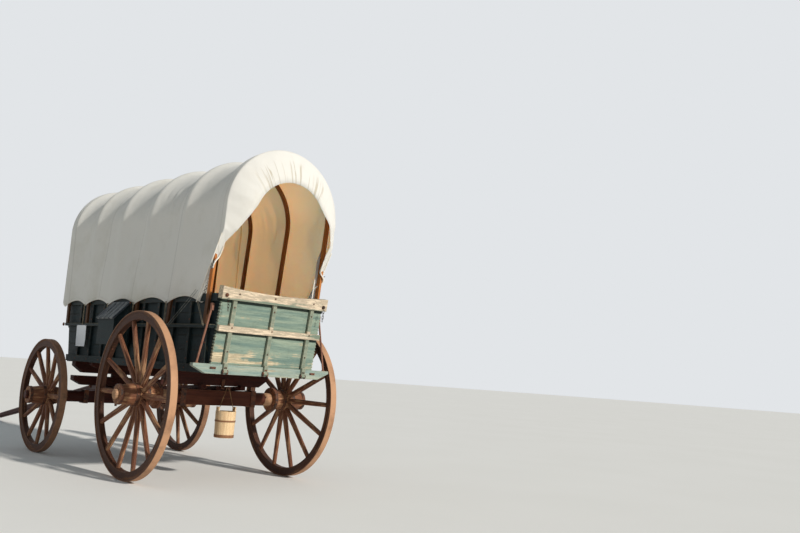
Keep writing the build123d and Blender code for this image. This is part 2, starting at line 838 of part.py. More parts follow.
# Gate: boards with notched ends, a frame of rails and ribs, and its hinge eyes
gate_dip = gate_board_thickness * math.sin(math.radians(rear_lean))
gate_plane = leaning_plane(
    at(bed_rear_station) - seat_gap - gate_dip * rear_tan, sill_top_z + seat_gap + gate_dip, rear_lean
)
with BuildPart() as gate_boards:
    with BuildSketch(gate_plane) as panel:
        with Locations((0, gate_height / 2)):
            Rectangle(2 * bed_half_width, gate_height)
        tooth_count = int(gate_height // gate_tooth_pitch)
        for side in (1, -1):
            for index in range(tooth_count):
                low_y = gate_tooth_pitch * index
                edge = side * bed_half_width
                with BuildLine():
                    Polyline(
                        (edge, low_y + gate_tooth_pitch * 0.3),
                        (edge - side * gate_tooth_depth, low_y + gate_tooth_pitch * 0.65),
                        (edge, low_y + gate_tooth_pitch * 0.9),
                        close=True,
                    )
                make_face(mode=Mode.SUBTRACT)
    extrude(amount=-gate_board_thickness)
save(gate_boards, "gate_boards")

gate_face = gate_plane.offset(-gate_board_thickness)
with BuildPart() as gate_frame:
    rib_low = -(hinge_drop + gate_dip)
    with BuildSketch(gate_face):
        with Locations((0, (gate_height + rib_low) / 2)):
            with GridLocations(gate_rib_spread, 0, 3, 1):
                Rectangle(gate_rib_width, gate_height - rib_low)
    extrude(amount=-gate_rib_thickness)
    with BuildSketch(gate_face):
        with Locations((0, (gate_foot_height + rib_low) / 2)):
            with GridLocations(gate_rib_spread, 0, 3, 1):
                Rectangle(gate_rib_width, gate_foot_height - rib_low)
    extrude(amount=-gate_foot_thickness)
    with BuildSketch(gate_face):
        with Locations((0, gate_mid_rail_rise)):
            Rectangle(2 * bed_half_width, gate_mid_rail_height)
    extrude(amount=-gate_mid_rail_thickness)
    with BuildSketch(gate_plane):
        with BuildLine():
            rail_half = gate_top_rail_half_width
            rail_top = gate_height + gate_top_rail_height - gate_top_crown
            ThreePointArc(
                (-rail_half, rail_top), (0, rail_top + gate_top_crown), (rail_half, rail_top)
            )
            Polyline(
                (rail_half, rail_top),
                (rail_half, gate_height),
                (-rail_half, gate_height),
                (-rail_half, rail_top),
            )
        make_face()
    extrude(amount=-gate_top_rail_depth)
    with BuildSketch(cross_plane(at(bed_rear_station) - sill_depth - 1)):
        with Locations((0, sill_top_z - sill_height / 2)):
            Rectangle(2 * sill_half_width, sill_height + 2 * seat_gap)
    extrude(amount=sill_depth + 2, mode=Mode.SUBTRACT)
    with BuildSketch(cross_plane(hinge_x - 2 * gate_foot_thickness)):
        with Locations((0, hinge_z - sill_height)):
            Rectangle(2 * sill_half_width, 2 * sill_height)
    extrude(amount=4 * gate_foot_thickness, mode=Mode.SUBTRACT)
    for centre_y in (-gate_rib_spread, 0, gate_rib_spread):
        with BuildSketch(side_plane(centre_y + gate_rib_width / 2)):
            with Locations((hinge_x, hinge_z)):
                Circle(hinge_eye_radius)
        extrude(amount=gate_rib_width)
        with BuildSketch(side_plane(centre_y + gate_rib_width / 2)):
            with Locations((hinge_x, hinge_z)):
                Circle(hinge_pin_radius + running_gap)
        extrude(amount=gate_rib_width, mode=Mode.SUBTRACT)
save(gate_frame, "gate_frame")

# Front end: the same panel, fixed to the fronts of the sides
front_plane = leaning_plane(at(bed_front_station), bed_bottom_z, -front_lean)
front_height = side_height / math.cos(math.radians(front_lean))
with BuildPart() as front_end:
    with BuildSketch(front_plane):
        with Locations((0, front_height / 2)):
            Rectangle(2 * bed_half_width, front_height)
    extrude(amount=board_thickness)
    with BuildSketch(front_plane.offset(board_thickness)):
        with Locations((0, front_height / 2)):
            with GridLocations(gate_rib_spread, 0, 3, 1):
                Rectangle(gate_rib_width, front_height)
        with Locations((0, mid_rail_z + mid_rail_height / 2 - bed_bottom_z)):
            Rectangle(2 * bed_half_width, mid_rail_height)
        with Locations((0, bottom_rail_height / 2)):
            Rectangle(2 * bed_half_width, bottom_rail_height)
    extrude(amount=rib_thickness)
    with BuildSketch(front_plane.offset(board_thickness)):
        with Locations((0, front_height - top_rail_height / 2)):
            Rectangle(2 * bed_half_width, top_rail_height)
    extrude(amount=end_rail_thickness)
save(front_end, "front_end")

# Bows: six bent hoops that stand on the mid rails
bow_foot_z = mid_rail_z + mid_rail_height
bow_outer = bed_half_width + top_rail_thickness + bow_thickness
bow_inner = bed_half_width + top_rail_thickness


def hoop(half_width, low, spring, draw=0.0, flare=0.0):
    """The closed outline of a hoop: a half circle on two legs. Above the knee each
    leg is drawn in to meet a smaller half circle, and below it the legs flare out."""
    arch = half_width - draw
    knee = bow_spring - lip_knee
    ThreePointArc((-arch, spring), (0, spring + arch), (arch, spring))
    Polyline(
        (arch, spring),
        (half_width, knee),
        (half_width + flare, low),
        (-half_width - flare, low),
        (-half_width, knee),
        (-arch, spring),
    )


def bow_plane(station, lean):
    """The plane of a bow, with its origin at the height of the bow's feet."""
    rise = bed_top_z - bow_foot_z
    return leaning_plane(
        at(station) + rise * math.tan(math.radians(lean)), bow_foot_z, lean
    )


with BuildPart() as bows:
    for station, lean in bow_table:
        plane = bow_plane(station, lean)
        with BuildSketch(plane):
            with BuildLine():
                hoop(bow_outer, -bow_width, bow_spring)
            make_face()
            with BuildLine():
                hoop(bow_inner, -bow_width, bow_spring)
            make_face(mode=Mode.SUBTRACT)
        extrude(amount=bow_width / 2, both=True)
    with BuildSketch(Plane.XY.offset(bow_foot_z - 4 * bow_width)):
        with Locations((at(wheelbase / 2), 0)):
            Rectangle(3 * wheelbase, 4 * bed_half_width)
    extrude(amount=4 * bow_width, mode=Mode.SUBTRACT)
save(bows, "bows")

# Cover: one canvas over the bows. It sags between them, its hem rises in an arch
# between the ties, and each end is drawn in to a smaller opening.
cloth_inner = bow_outer + seat_gap
band = bow_width / 2 + seat_gap
# Columns: plane, how far the cloth hangs in at the sides, how far its arch is
# lowered, how far its arch is drawn in, and how thick it is
front_lip = leaning_plane(at(lip_front_station), bow_foot_z, 0)
front_hood = leaning_plane(at(hood_front_station), bow_foot_z, 0)
rear_hood = leaning_plane(at(hood_rear_station), bow_foot_z, hood_rear_lean)
rear_lip = leaning_plane(at(lip_rear_station), bow_foot_z, 0)
cover_sections = [
    (front_lip, 0.0, lip_drop, lip_draw, lip_thickness),
    (front_hood, 0.0, hood_drop, 0.0, cloth_thickness),
]
for index, (station, lean) in enumerate(bow_table):
    plane = bow_plane(station, lean)
    cover_sections.append((plane.offset(band), 0.0, 0.0, 0.0, cloth_thickness))
    cover_sections.append((plane.offset(-band), 0.0, 0.0, 0.0, cloth_thickness))
    if index + 1 < len(bow_table):
        next_station, next_lean = bow_table[index + 1]
        middle = bow_plane((station + next_station) / 2, (lean + next_lean) / 2)
        sag = cloth_sag_top - cloth_sag_side
        cover_sections.append((middle, cloth_sag_side, sag, 0.0, cloth_thickness))
cover_sections.append((rear_hood, 0.0, hood_drop, 0.0, cloth_thickness))
cover_sections.append((rear_lip, 0.0, lip_drop, lip_draw, lip_thickness))
cusps = [at(station + hem_lead) for station, _ in bow_table]
far = wheelbase
with BuildPart() as cover:
    for plane, inset, drop, draw, thickness in cover_sections:
        with BuildSketch(plane):
            with BuildLine():
                hoop(
                    cloth_inner + cloth_thickness - inset, 0, bow_spring - drop, draw, hem_flare
                )
            make_face()
    loft(ruled=True)
    for plane, inset, drop, draw, thickness in cover_sections:
        with BuildSketch(plane):
            with BuildLine():
                thinner = thickness - cloth_thickness
                hoop(cloth_inner - inset, 0, bow_spring - drop, draw + thinner, hem_flare)
            make_face()
    loft(ruled=True, mode=Mode.SUBTRACT)
    # The hem: arches between the cusps, straight under the front hood, and cut
    # back behind the last cusp up to the rear lip
    with BuildSketch(side_plane(2 * bed_half_width)):
        with BuildLine():
            for start, end in zip(cusps, cusps[1:]):
                ThreePointArc(
                    (start, hem_cusp_z), ((start + end) / 2, hem_arch_z), (end, hem_cusp_z)
                )
            Polyline(
                (cusps[-1], hem_cusp_z),
                (at(rear_hem_station), rear_hem_z),
                (at(rear_hem_station) - far, rear_hem_z + far * rear_hem_rise),
                (at(rear_hem_station) - far, bow_foot_z - far),
                (cusps[0] + far, bow_foot_z - far),
                (cusps[0] + far, hem_cusp_z),
                (cusps[0], hem_cusp_z),
            )
        make_face()
    extrude(amount=4 * bed_half_width, mode=Mode.SUBTRACT)
save(cover, "cover")

# Toolbox: an open case on the left mid rail with a sloping lid
case_back = bed_half_width + mid_rail_thickness
case_front = case_back + toolbox_depth
case_x = at(toolbox_rear_station)


def case_outline(inset):
    """The case from the front of the wagon: back, sloping top, front, bottom."""
    slope = (toolbox_back_z - toolbox_front_z) / toolbox_depth
    Polyline(
        (case_back + inset, toolbox_bottom_z + inset),
        (case_front - inset, toolbox_bottom_z + inset),
        (case_front - inset, toolbox_front_z + slope * inset + 4 * inset),
        (case_back + inset, toolbox_back_z - slope * inset + 4 * inset),
        close=True,
    )


lid_angle = math.atan2(toolbox_back_z - toolbox_front_z, toolbox_depth)
lid_run = math.hypot(toolbox_depth, toolbox_back_z - toolbox_front_z)
lid_length = toolbox_length + 2 * lid_overhang
lid_barrel = lid_thickness / 2
case_wing = lid_overhang + lid_end_gap + lid_ear_thickness


def lid_plane(x):
    """A cross plane whose x runs down the lid's slope and whose y leaves the lid."""
    down = (0, math.cos(lid_angle), -math.sin(lid_angle))
    return Plane(origin=(x, case_back, toolbox_back_z), x_dir=down, z_dir=(1, 0, 0))


with BuildPart() as toolbox_case:
    with BuildSketch(cross_plane(case_x)):
        with BuildLine():
            case_outline(0)
        make_face()
    extrude(amount=toolbox_length)
    with BuildSketch(cross_plane(case_x + toolbox_wall)):
        with BuildLine():
            case_outline(toolbox_wall)
        make_face()
    extrude(amount=toolbox_length - 2 * toolbox_wall, mode=Mode.SUBTRACT)
    # The back board is wider than the case and carries the hinge
    with BuildSketch(cross_plane(case_x - case_wing)):
        with BuildLine():
            Polyline(
                (case_back, toolbox_bottom_z),
                (case_back + toolbox_wall, toolbox_bottom_z),
                (case_back + toolbox_wall, toolbox_back_z - toolbox_wall * math.tan(lid_angle)),
                (case_back, toolbox_back_z),
                close=True,
            )
        make_face()
    extrude(amount=toolbox_length + 2 * case_wing)
save(toolbox_case, "toolbox_case")

# A rod through the lid's round back edge, held by an ear at each end
with BuildPart() as toolbox_hinge:
    for x in (case_x - case_wing, case_x + toolbox_length + case_wing - lid_ear_thickness):
        with BuildSketch(lid_plane(x)):
            with Locations((lid_axis_run, seat_gap + lid_barrel)):
                Circle(lid_barrel)
            with Locations((lid_axis_run, (seat_gap + lid_barrel) / 2)):
                Rectangle(2 * lid_barrel, seat_gap + lid_barrel)
        extrude(amount=lid_ear_thickness)
    with BuildSketch(lid_plane(case_x - case_wing)):
        with Locations((lid_axis_run, seat_gap + lid_barrel)):
            Circle(lid_rod_radius)
    extrude(amount=toolbox_length + 2 * case_wing)
save(toolbox_hinge, "toolbox_hinge")

with BuildPart() as toolbox_lid:
    with BuildSketch(lid_plane(case_x - lid_overhang)):
        with Locations((lid_axis_run, seat_gap + lid_barrel)):
            Circle(lid_barrel)
        with Locations(((lid_axis_run + lid_run + lid_overhang) / 2, seat_gap + lid_barrel)):
            Rectangle(lid_run + lid_overhang - lid_axis_run, lid_thickness)
        with Locations((lid_axis_run, seat_gap + lid_barrel)):
            Circle(lid_rod_radius + running_gap, mode=Mode.SUBTRACT)
    extrude(amount=lid_length)
    # Sunk boards between the battens that run down the slope
    for index in range(lid_board_count):
        pitch = lid_length / lid_board_count
        board_x = case_x - lid_overhang + pitch * (index + 0.5) - lid_board_width / 2
        with BuildSketch(lid_plane(board_x)):
            with Locations((lid_axis_run + 2 * lid_barrel + lid_run, seat_gap + lid_thickness)):
                Rectangle(2 * lid_run, 2 * lid_groove_depth)
        extrude(amount=lid_board_width, mode=Mode.SUBTRACT)
save(toolbox_lid, "toolbox_lid")

# Pail, hung on a rope from a hook in the rear bolster
pail_axis_x = at(pail_station)
pail_centre = Vector(pail_axis_x, pail_y, pail_bottom_z)
pail_plane = Plane(origin=pail_centre, x_dir=(0, 1, 0), z_dir=(1, 0, 0))
pail_spin = Axis(pail_centre, (0, 0, 1))
pail_taper = (pail_top_radius - pail_bottom_radius) / pail_height


ear_hole_z = pail_bottom_z + pail_height + pail_ear_rise / 2


def pail_radius(height):
    """The pail's outer radius at a height above its bottom."""
    return pail_bottom_radius + pail_taper * height


with BuildPart() as pail:
    with BuildSketch(pail_plane):
        with BuildLine():
            ear_top = pail_height + pail_ear_rise
            Polyline(
                (0, 0),
                (pail_bottom_radius, 0),
                (pail_radius(ear_top), ear_top),
                (pail_radius(ear_top) - pail_wall, ear_top),
                (pail_radius(pail_wall) - pail_wall, pail_wall),
                (0, pail_wall),
                close=True,
            )
        make_face()
    revolve(axis=pail_spin)
    # Only the two ear staves stand above the rim, and the rope goes through them
    with BuildSketch(Plane.XY.offset(pail_bottom_z + pail_height)):
        with Locations((pail_axis_x, pail_y)):
            Rectangle(4 * pail_top_radius, 4 * pail_top_radius)
            Rectangle(pail_ear_width, 4 * pail_top_radius, mode=Mode.SUBTRACT)
    extrude(amount=2 * pail_ear_rise, mode=Mode.SUBTRACT)
    with BuildSketch(side_plane(pail_y + 2 * pail_top_radius)):
        with Locations((pail_axis_x, ear_hole_z)):
            Circle(pail_rope_radius)
    extrude(amount=4 * pail_top_radius, mode=Mode.SUBTRACT)
save(pail, "pail")

with BuildPart() as pail_hoops:
    with BuildSketch(pail_plane):
        for low, high in pail_hoop_table:
            with BuildLine():
                Polyline(
                    (pail_radius(low), low),
                    (pail_radius(low) + pail_hoop_thickness, low),
                    (pail_radius(high) + pail_hoop_thickness, high),
                    (pail_radius(high), high),
                    close=True,
                )
            make_face()
    revolve(axis=pail_spin)
save(pail_hoops, "pail_hoops")

pail_hook = Vector(pail_axis_x, pail_y, pail_hook_z)
with BuildPart() as pail_rope:
    for side in (1, -1):
        ear_face = pail_radius(ear_hole_z - pail_bottom_z) - pail_wall
        ear_y = ear_face - seat_gap - pail_knot_radius
        ear = Vector(pail_axis_x, pail_y + side * ear_y, ear_hole_z)
        with Locations(ear):
            Sphere(pail_knot_radius)
        with BuildSketch(side_plane(ear.Y)):
            with Locations((ear.X, ear.Z)):
                Circle(pail_rope_radius - running_gap)
        extrude(amount=-side * (pail_knot_radius + pail_wall + 4))
        along = (pail_hook - ear).normalized()
        with BuildSketch(Plane(origin=ear, z_dir=along)):
            Circle(pail_rope_radius)
        extrude(amount=(pail_hook - ear).length - pail_hook_radius - pail_rope_radius)
    with BuildSketch(cross_plane(pail_axis_x - pail_loop_width / 2)):
        with Locations((pail_y, pail_hook_z)):
            Circle(pail_hook_radius + 2 * pail_rope_radius)
    extrude(amount=pail_loop_width)
    with BuildSketch(cross_plane(pail_axis_x - pail_loop_width)):
        with Locations((pail_y, pail_hook_z)):
            Circle(pail_hook_radius + running_gap)
    extrude(amount=2 * pail_loop_width, mode=Mode.SUBTRACT)
save(pail_rope, "pail_rope")

with BuildPart() as pail_hanger:
    plate_face = rear_axle_x - bolster_depth / 2 - pail_plate_thickness
    head_gap = pail_loop_width / 2 + 4
    plate_low = pail_hook_z - pail_plate_width / 2
    plate_high = bed_bottom_z - bolster_height / 2
    with BuildSketch(cross_plane(pail_axis_x - head_gap)):
        with Locations((pail_y, pail_hook_z)):
            Circle(pail_hook_radius)
    extrude(amount=plate_face - pail_axis_x + head_gap)
    with BuildSketch(cross_plane(pail_axis_x - head_gap - 8)):
        with Locations((pail_y, pail_hook_z)):
            Circle(pail_hook_radius + 6)
    extrude(amount=8)
    with BuildSketch(cross_plane(plate_face)):
        with Locations((pail_y, (plate_low + plate_high) / 2)):
            Rectangle(pail_plate_width, plate_high - plate_low)
    extrude(amount=pail_plate_thickness)
save(pail_hanger, "pail_hanger")
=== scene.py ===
import math

import bmesh
import bpy
from mathutils import Matrix, Vector, noise


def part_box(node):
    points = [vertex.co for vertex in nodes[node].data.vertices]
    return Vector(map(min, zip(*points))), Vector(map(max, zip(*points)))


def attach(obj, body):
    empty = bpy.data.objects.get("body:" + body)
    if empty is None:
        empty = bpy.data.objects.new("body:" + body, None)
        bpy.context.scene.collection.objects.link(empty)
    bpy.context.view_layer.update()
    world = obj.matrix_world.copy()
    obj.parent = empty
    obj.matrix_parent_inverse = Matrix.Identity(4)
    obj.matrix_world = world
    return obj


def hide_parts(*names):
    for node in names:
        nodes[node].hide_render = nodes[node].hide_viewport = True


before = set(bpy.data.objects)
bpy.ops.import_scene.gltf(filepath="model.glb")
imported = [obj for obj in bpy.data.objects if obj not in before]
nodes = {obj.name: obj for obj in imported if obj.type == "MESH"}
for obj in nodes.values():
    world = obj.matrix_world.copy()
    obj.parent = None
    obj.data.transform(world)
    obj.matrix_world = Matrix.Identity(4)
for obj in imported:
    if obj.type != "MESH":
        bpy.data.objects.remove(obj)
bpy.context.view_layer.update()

# The viewer stands behind the wagon's left rear corner, a metre above the ground,
# and looks a little upwards, with the horizon slightly tilted.
rear_axle_x = (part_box("rear_axle")[0].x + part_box("rear_axle")[1].x) / 2
heading = math.radians(-42.130)
lift = math.radians(7.259)
tilt = math.radians(4.022)
look = Vector((math.cos(lift) * math.cos(heading), math.cos(lift) * math.sin(heading), math.sin(lift)))
level = look.cross(Vector((0, 0, 1))).normalized()
upright = level.cross(look)
viewer = bpy.data.objects.new("viewer", bpy.data.cameras.new("viewer"))
bpy.context.scene.collection.objects.link(viewer)
viewer.data.sensor_width = 36.0
viewer.data.lens = 37.615
viewer.data.clip_end = 400.0
viewer_turn = Matrix(
    (
        level * math.cos(tilt) + upright * math.sin(tilt),
        upright * math.cos(tilt) - level * math.sin(tilt),
        -look,
    )
).transposed()
viewer.matrix_world = Matrix.Translation((rear_axle_x - 6.3895, 3.7650, 0.98878)) @ viewer_turn.to_4x4()
bpy.context.scene.camera = viewer
bpy.context.scene.view_settings.view_transform = "Standard"


# The ground is a pale plain floor that runs out to a pale sky, under one soft lamp that
# stands low behind the viewer's right shoulder.
def shade(red, green, blue):
    """A colour as it is read from a print, 0 to 255, made linear."""
    return tuple(((c / 255 + 0.055) / 1.055) ** 2.4 for c in (red, green, blue)) + (1.0,)


class Wire:
    """One value on its way through a finish. Arithmetic on it adds the Math nodes."""

    def __init__(self, tree, socket=None):
        self.tree = tree
        self.socket = socket

    def node(self, kind, settings, sockets, out=0):
        """Adds one node: its settings first, then the values or links of its sockets."""
        made = self.tree.nodes.new(kind)
        for name, value in settings.items():
            setattr(made, name, value)
        for name, value in sockets.items():
            if isinstance(value, Wire):
                self.tree.links.new(value.socket, made.inputs[name])
            else:
                made.inputs[name].default_value = value
        return Wire(self.tree, made.outputs[out])

    def math(self, operation, *values):
        return self.node("ShaderNodeMath", {"operation": operation}, dict(enumerate(values)))

    def apply(self, operation, *others):
        """A Math node whose first value is this one."""
        return self.math(operation, self, *others)

    def part(self, axis):
        """X, Y or Z of this place."""
        return self.node("ShaderNodeSeparateXYZ", {}, {"Vector": self}, axis)

    def moved_by(self, *offset):
        return self.node("ShaderNodeMapping", {}, {"Vector": self, "Location": offset})

    def __add__(self, other):
        return self.math("ADD", self, other)

    def __radd__(self, other):
        return self.math("ADD", other, self)

    def __sub__(self, other):
        return self.math("SUBTRACT", self, other)

    def __rsub__(self, other):
        return self.math("SUBTRACT", other, self)

    def __mul__(self, other):
        return self.math("MULTIPLY", self, other)

    def __rmul__(self, other):
        return self.math("MULTIPLY", other, self)

    def __truediv__(self, other):
        return self.math("DIVIDE", self, other)

    def __pow__(self, other):
        return self.math("POWER", self, other)

    def __gt__(self, other):
        return self.math("GREATER_THAN", self, other)

    def __lt__(self, other):
        return self.math("LESS_THAN", self, other)

    def __abs__(self):
        return self.math("ABSOLUTE", self)

    def between(self, low, high):
        """0 below low, 1 above high and a soft step between them."""
        return self.node(
            "ShaderNodeMapRange",
            {"interpolation_type": "SMOOTHSTEP"},
            {"Value": self, "From Min": low, "From Max": high},
        )

    def mix(self, low, high):
        """One colour where this value is 0 and another where it is 1."""
        return self.node("ShaderNodeMix", {"data_type": "RGBA"}, {0: self, 6: low, 7: high}, 2)

    def cloud(self, scale, detail, roughness):
        """Soft noise round this place."""
        sockets = {"Vector": self, "Scale": scale, "Detail": detail, "Roughness": roughness}
        return self.node("ShaderNodeTexNoise", {}, sockets)

    def into(self, socket):
        self.tree.links.new(self.socket, socket)


def new_finish(name, settings):
    """A material with its constants set, the start of its wires, and its shader's sockets."""
    finish = bpy.data.materials.new(name)
    finish.use_nodes = True
    skin = finish.node_tree.nodes["Principled BSDF"]
    for socket, value in settings.items():
        skin.inputs[socket].default_value = value
    return finish, Wire(finish.node_tree), skin.inputs


def link_piece(name, shape, finish):
    """Makes a bmesh a piece of the scene, in place."""
    mesh = bpy.data.meshes.new(name)
    shape.to_mesh(mesh)
    shape.free()
    piece = bpy.data.objects.new(name, mesh)
    bpy.context.scene.collection.objects.link(piece)
    mesh.materials.append(finish)
    return piece


ground_finish, start, skin = new_finish("pale_ground", {"Roughness": 0.9, "Specular IOR Level": 0.1})
start.node("ShaderNodeTexCoord", {}, {}, "Object").cloud(0.7, 3.0, 0.5).mix(
    shade(240, 238, 233), shade(246, 244, 240)
).into(skin["Base Color"])
shape = bmesh.new()
bmesh.ops.create_circle(shape, cap_ends=True, segments=96, radius=70.0)
ground = link_piece("ground", shape, ground_finish)

sky = bpy.data.worlds.new("pale_sky")
bpy.context.scene.world = sky
sky.use_nodes = True
start = Wire(sky.node_tree)
rays = ("Is Camera Ray", "Is Glossy Ray", "Is Transmission Ray")
seen = [start.node("ShaderNodeLightPath", {}, {}, ray) for ray in rays]
backdrop = seen[0].apply("MAXIMUM", seen[1]).apply("MAXIMUM", seen[2])
skylight = (0.255, 0.285, 0.305, 1.0)
backdrop.mix(skylight, shade(226, 229, 232)).into(sky.node_tree.nodes["Background"].inputs["Color"])

lamp = bpy.data.objects.new("lamp", bpy.data.lights.new("lamp", "SUN"))
bpy.context.scene.collection.objects.link(lamp)
lamp.data.energy = 3.3
lamp.data.color = (1.0, 0.96, 0.90)
lamp.data.angle = math.radians(3.0)
lamp_way = Vector((-0.86, -0.16, 0.44))
lamp.rotation_euler = lamp_way.to_track_quat("Z", "Y").to_euler()


# The four wheels are dished and spoked, of red-brown painted oak and ash: turned naves,
# drawn spokes and sawn felloes under shrunk-on iron tyres.
def worn_edge(start, reach):
    """How rounded and rubbed a corner is, and the normal that rounds it."""
    soft = start.node("ShaderNodeBevel", {"samples": 6}, {"Radius": reach})
    true = start.node("ShaderNodeNewGeometry", {}, {}, "True Normal")
    dot = start.node("ShaderNodeVectorMath", {"operation": "DOT_PRODUCT"}, {0: soft, 1: true}, "Value")
    return 1 - dot, soft


def roughen(skin, height, strength, distance, normal=None):
    """Bumps a finish by a height, on top of a rounded normal where there is one."""
    sockets = {"Strength": strength, "Distance": distance, "Height": height}
    if normal is not None:
        sockets["Normal"] = normal
    height.node("ShaderNodeBump", {}, sockets).into(skin["Normal"])


def timber(name, grain, paint, faded, bare, gone, dirt_and_shade=(58, 46, 36), extra=None, stain=None):
    """Sawn timber under old paint. grain scales the pattern along X, Y and Z, small down
    the grain, or works out its place; gone is the share of the paint that is lost, extra
    adds to it, and stain is painted shade, in the colour of the cracks and dirty patches."""
    finish, start, skin = new_finish(name, {"Specular IOR Level": 0.18})
    place = start.node("ShaderNodeTexCoord", {}, {}, "Object")
    lay = grain(place) if callable(grain) else place.node(
        "ShaderNodeVectorMath", {"operation": "MULTIPLY"}, {0: place, 1: grain}
    )
    streak = lay.cloud(1.0, 8.0, 0.62)
    fibre = lay.cloud(3.7, 5.0, 0.7)
    patch = place.cloud(4.3, 5.0, 0.6)
    corner, soft = worn_edge(start, 0.005)
    loss = streak * 0.55 + patch * 0.45 + corner * 1.3 + (gone - 0.5)
    if extra:
        loss = loss + extra(place)
    chip = loss.between(0.485, 0.545)
    check = abs(fibre - 0.5).between(0.018, 0.0)
    painted = streak.between(0.3, 0.7).mix(shade(*paint), shade(*faded))
    stripped = fibre.between(0.3, 0.7).mix(shade(*[c * 0.72 for c in bare]), shade(*bare))
    colour = chip.mix(painted, stripped)
    grime_and_shade = (check * 0.55).apply("MAXIMUM", patch.between(0.60, 0.78) * 0.5)
    # Where stain is given, it adds painted shade to the cracks and dirty patches.
    if stain:
        grime_and_shade = grime_and_shade.apply("MAXIMUM", stain(place))
    grime_and_shade.mix(colour, shade(*dirt_and_shade)).into(skin["Base Color"])
    (0.5 + chip * 0.28 + streak * 0.15).into(skin["Roughness"])
    roughen(skin, streak * 0.5 + fibre * 0.25 - chip * 0.45 - check * 0.6, 0.55, 0.002, soft)
    return finish


def iron(name, dark, rust, share, dust_and_shade=None):
    """Forged iron with rust in patches, and edges rubbed to bare metal."""
    finish, start, skin = new_finish(name, {"Specular IOR Level": 0.5})
    place = start.node("ShaderNodeTexCoord", {}, {}, "Object")
    bloom = place.cloud(21.0, 7.0, 0.68)
    pit = place.cloud(160.0, 4.0, 0.6)
    corner, soft = worn_edge(start, 0.003)
    rusty = (bloom + pit * 0.2 + (share - 0.6)).between(0.42, 0.62)
    colour = rusty.mix(shade(*dark), shade(*rust))
    colour = pit.between(0.5, 0.75).mix(colour, shade(*[c * 0.6 for c in rust]))
    if dust_and_shade:
        colour = dust_and_shade(place).mix(colour, shade(206, 158, 120))
    (corner.between(0.05, 0.3) * 0.5).mix(colour, shade(150, 138, 126)).into(skin["Base Color"])
    ((1 - rusty) * 0.55).into(skin["Metallic"])
    (0.48 + rusty * 0.34 + pit * 0.1).into(skin["Roughness"])
    roughen(skin, bloom + pit * 0.6, 0.5, 0.001, soft)
    return finish


def dress(finish, *names):
    """Gives CAD nodes their finish."""
    for name in names:
        for held in nodes[name].material_slots:
            held.material = finish


def from_hub(place, centre):
    """A place as distance from the hub, turn round it and offset along the axle."""
    moved = place.moved_by(-centre.x, 0, -centre.z)
    x, y, z = (moved.part(axis) for axis in "XYZ")
    return (x * x + z * z) ** 0.5, z.apply("ARCTAN2", x), abs(y)


def join(x, y, z):
    """A place from its three parts, of which x is a wire."""
    return x.node("ShaderNodeCombineXYZ", {}, {0: x, 1: y, 2: z})


def smooth(shape):
    for face in shape.faces:
        face.smooth = True


def rivets(name, places, facing, radius, finish, body):
    """A group of like domed heads, each half sunk in what it holds."""
    shape = bmesh.new()
    for place, way in zip(places, facing):
        stand = Vector(way).to_track_quat("Z", "Y").to_matrix().to_4x4()
        flat = Matrix.Diagonal((1.0, 1.0, 0.5, 1.0))
        bmesh.ops.create_uvsphere(
            shape, u_segments=10, v_segments=6, radius=radius, matrix=Matrix.Translation(place) @ stand @ flat
        )
    smooth(shape)
    piece = link_piece(name, shape, finish)
    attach(piece, body)
    return piece


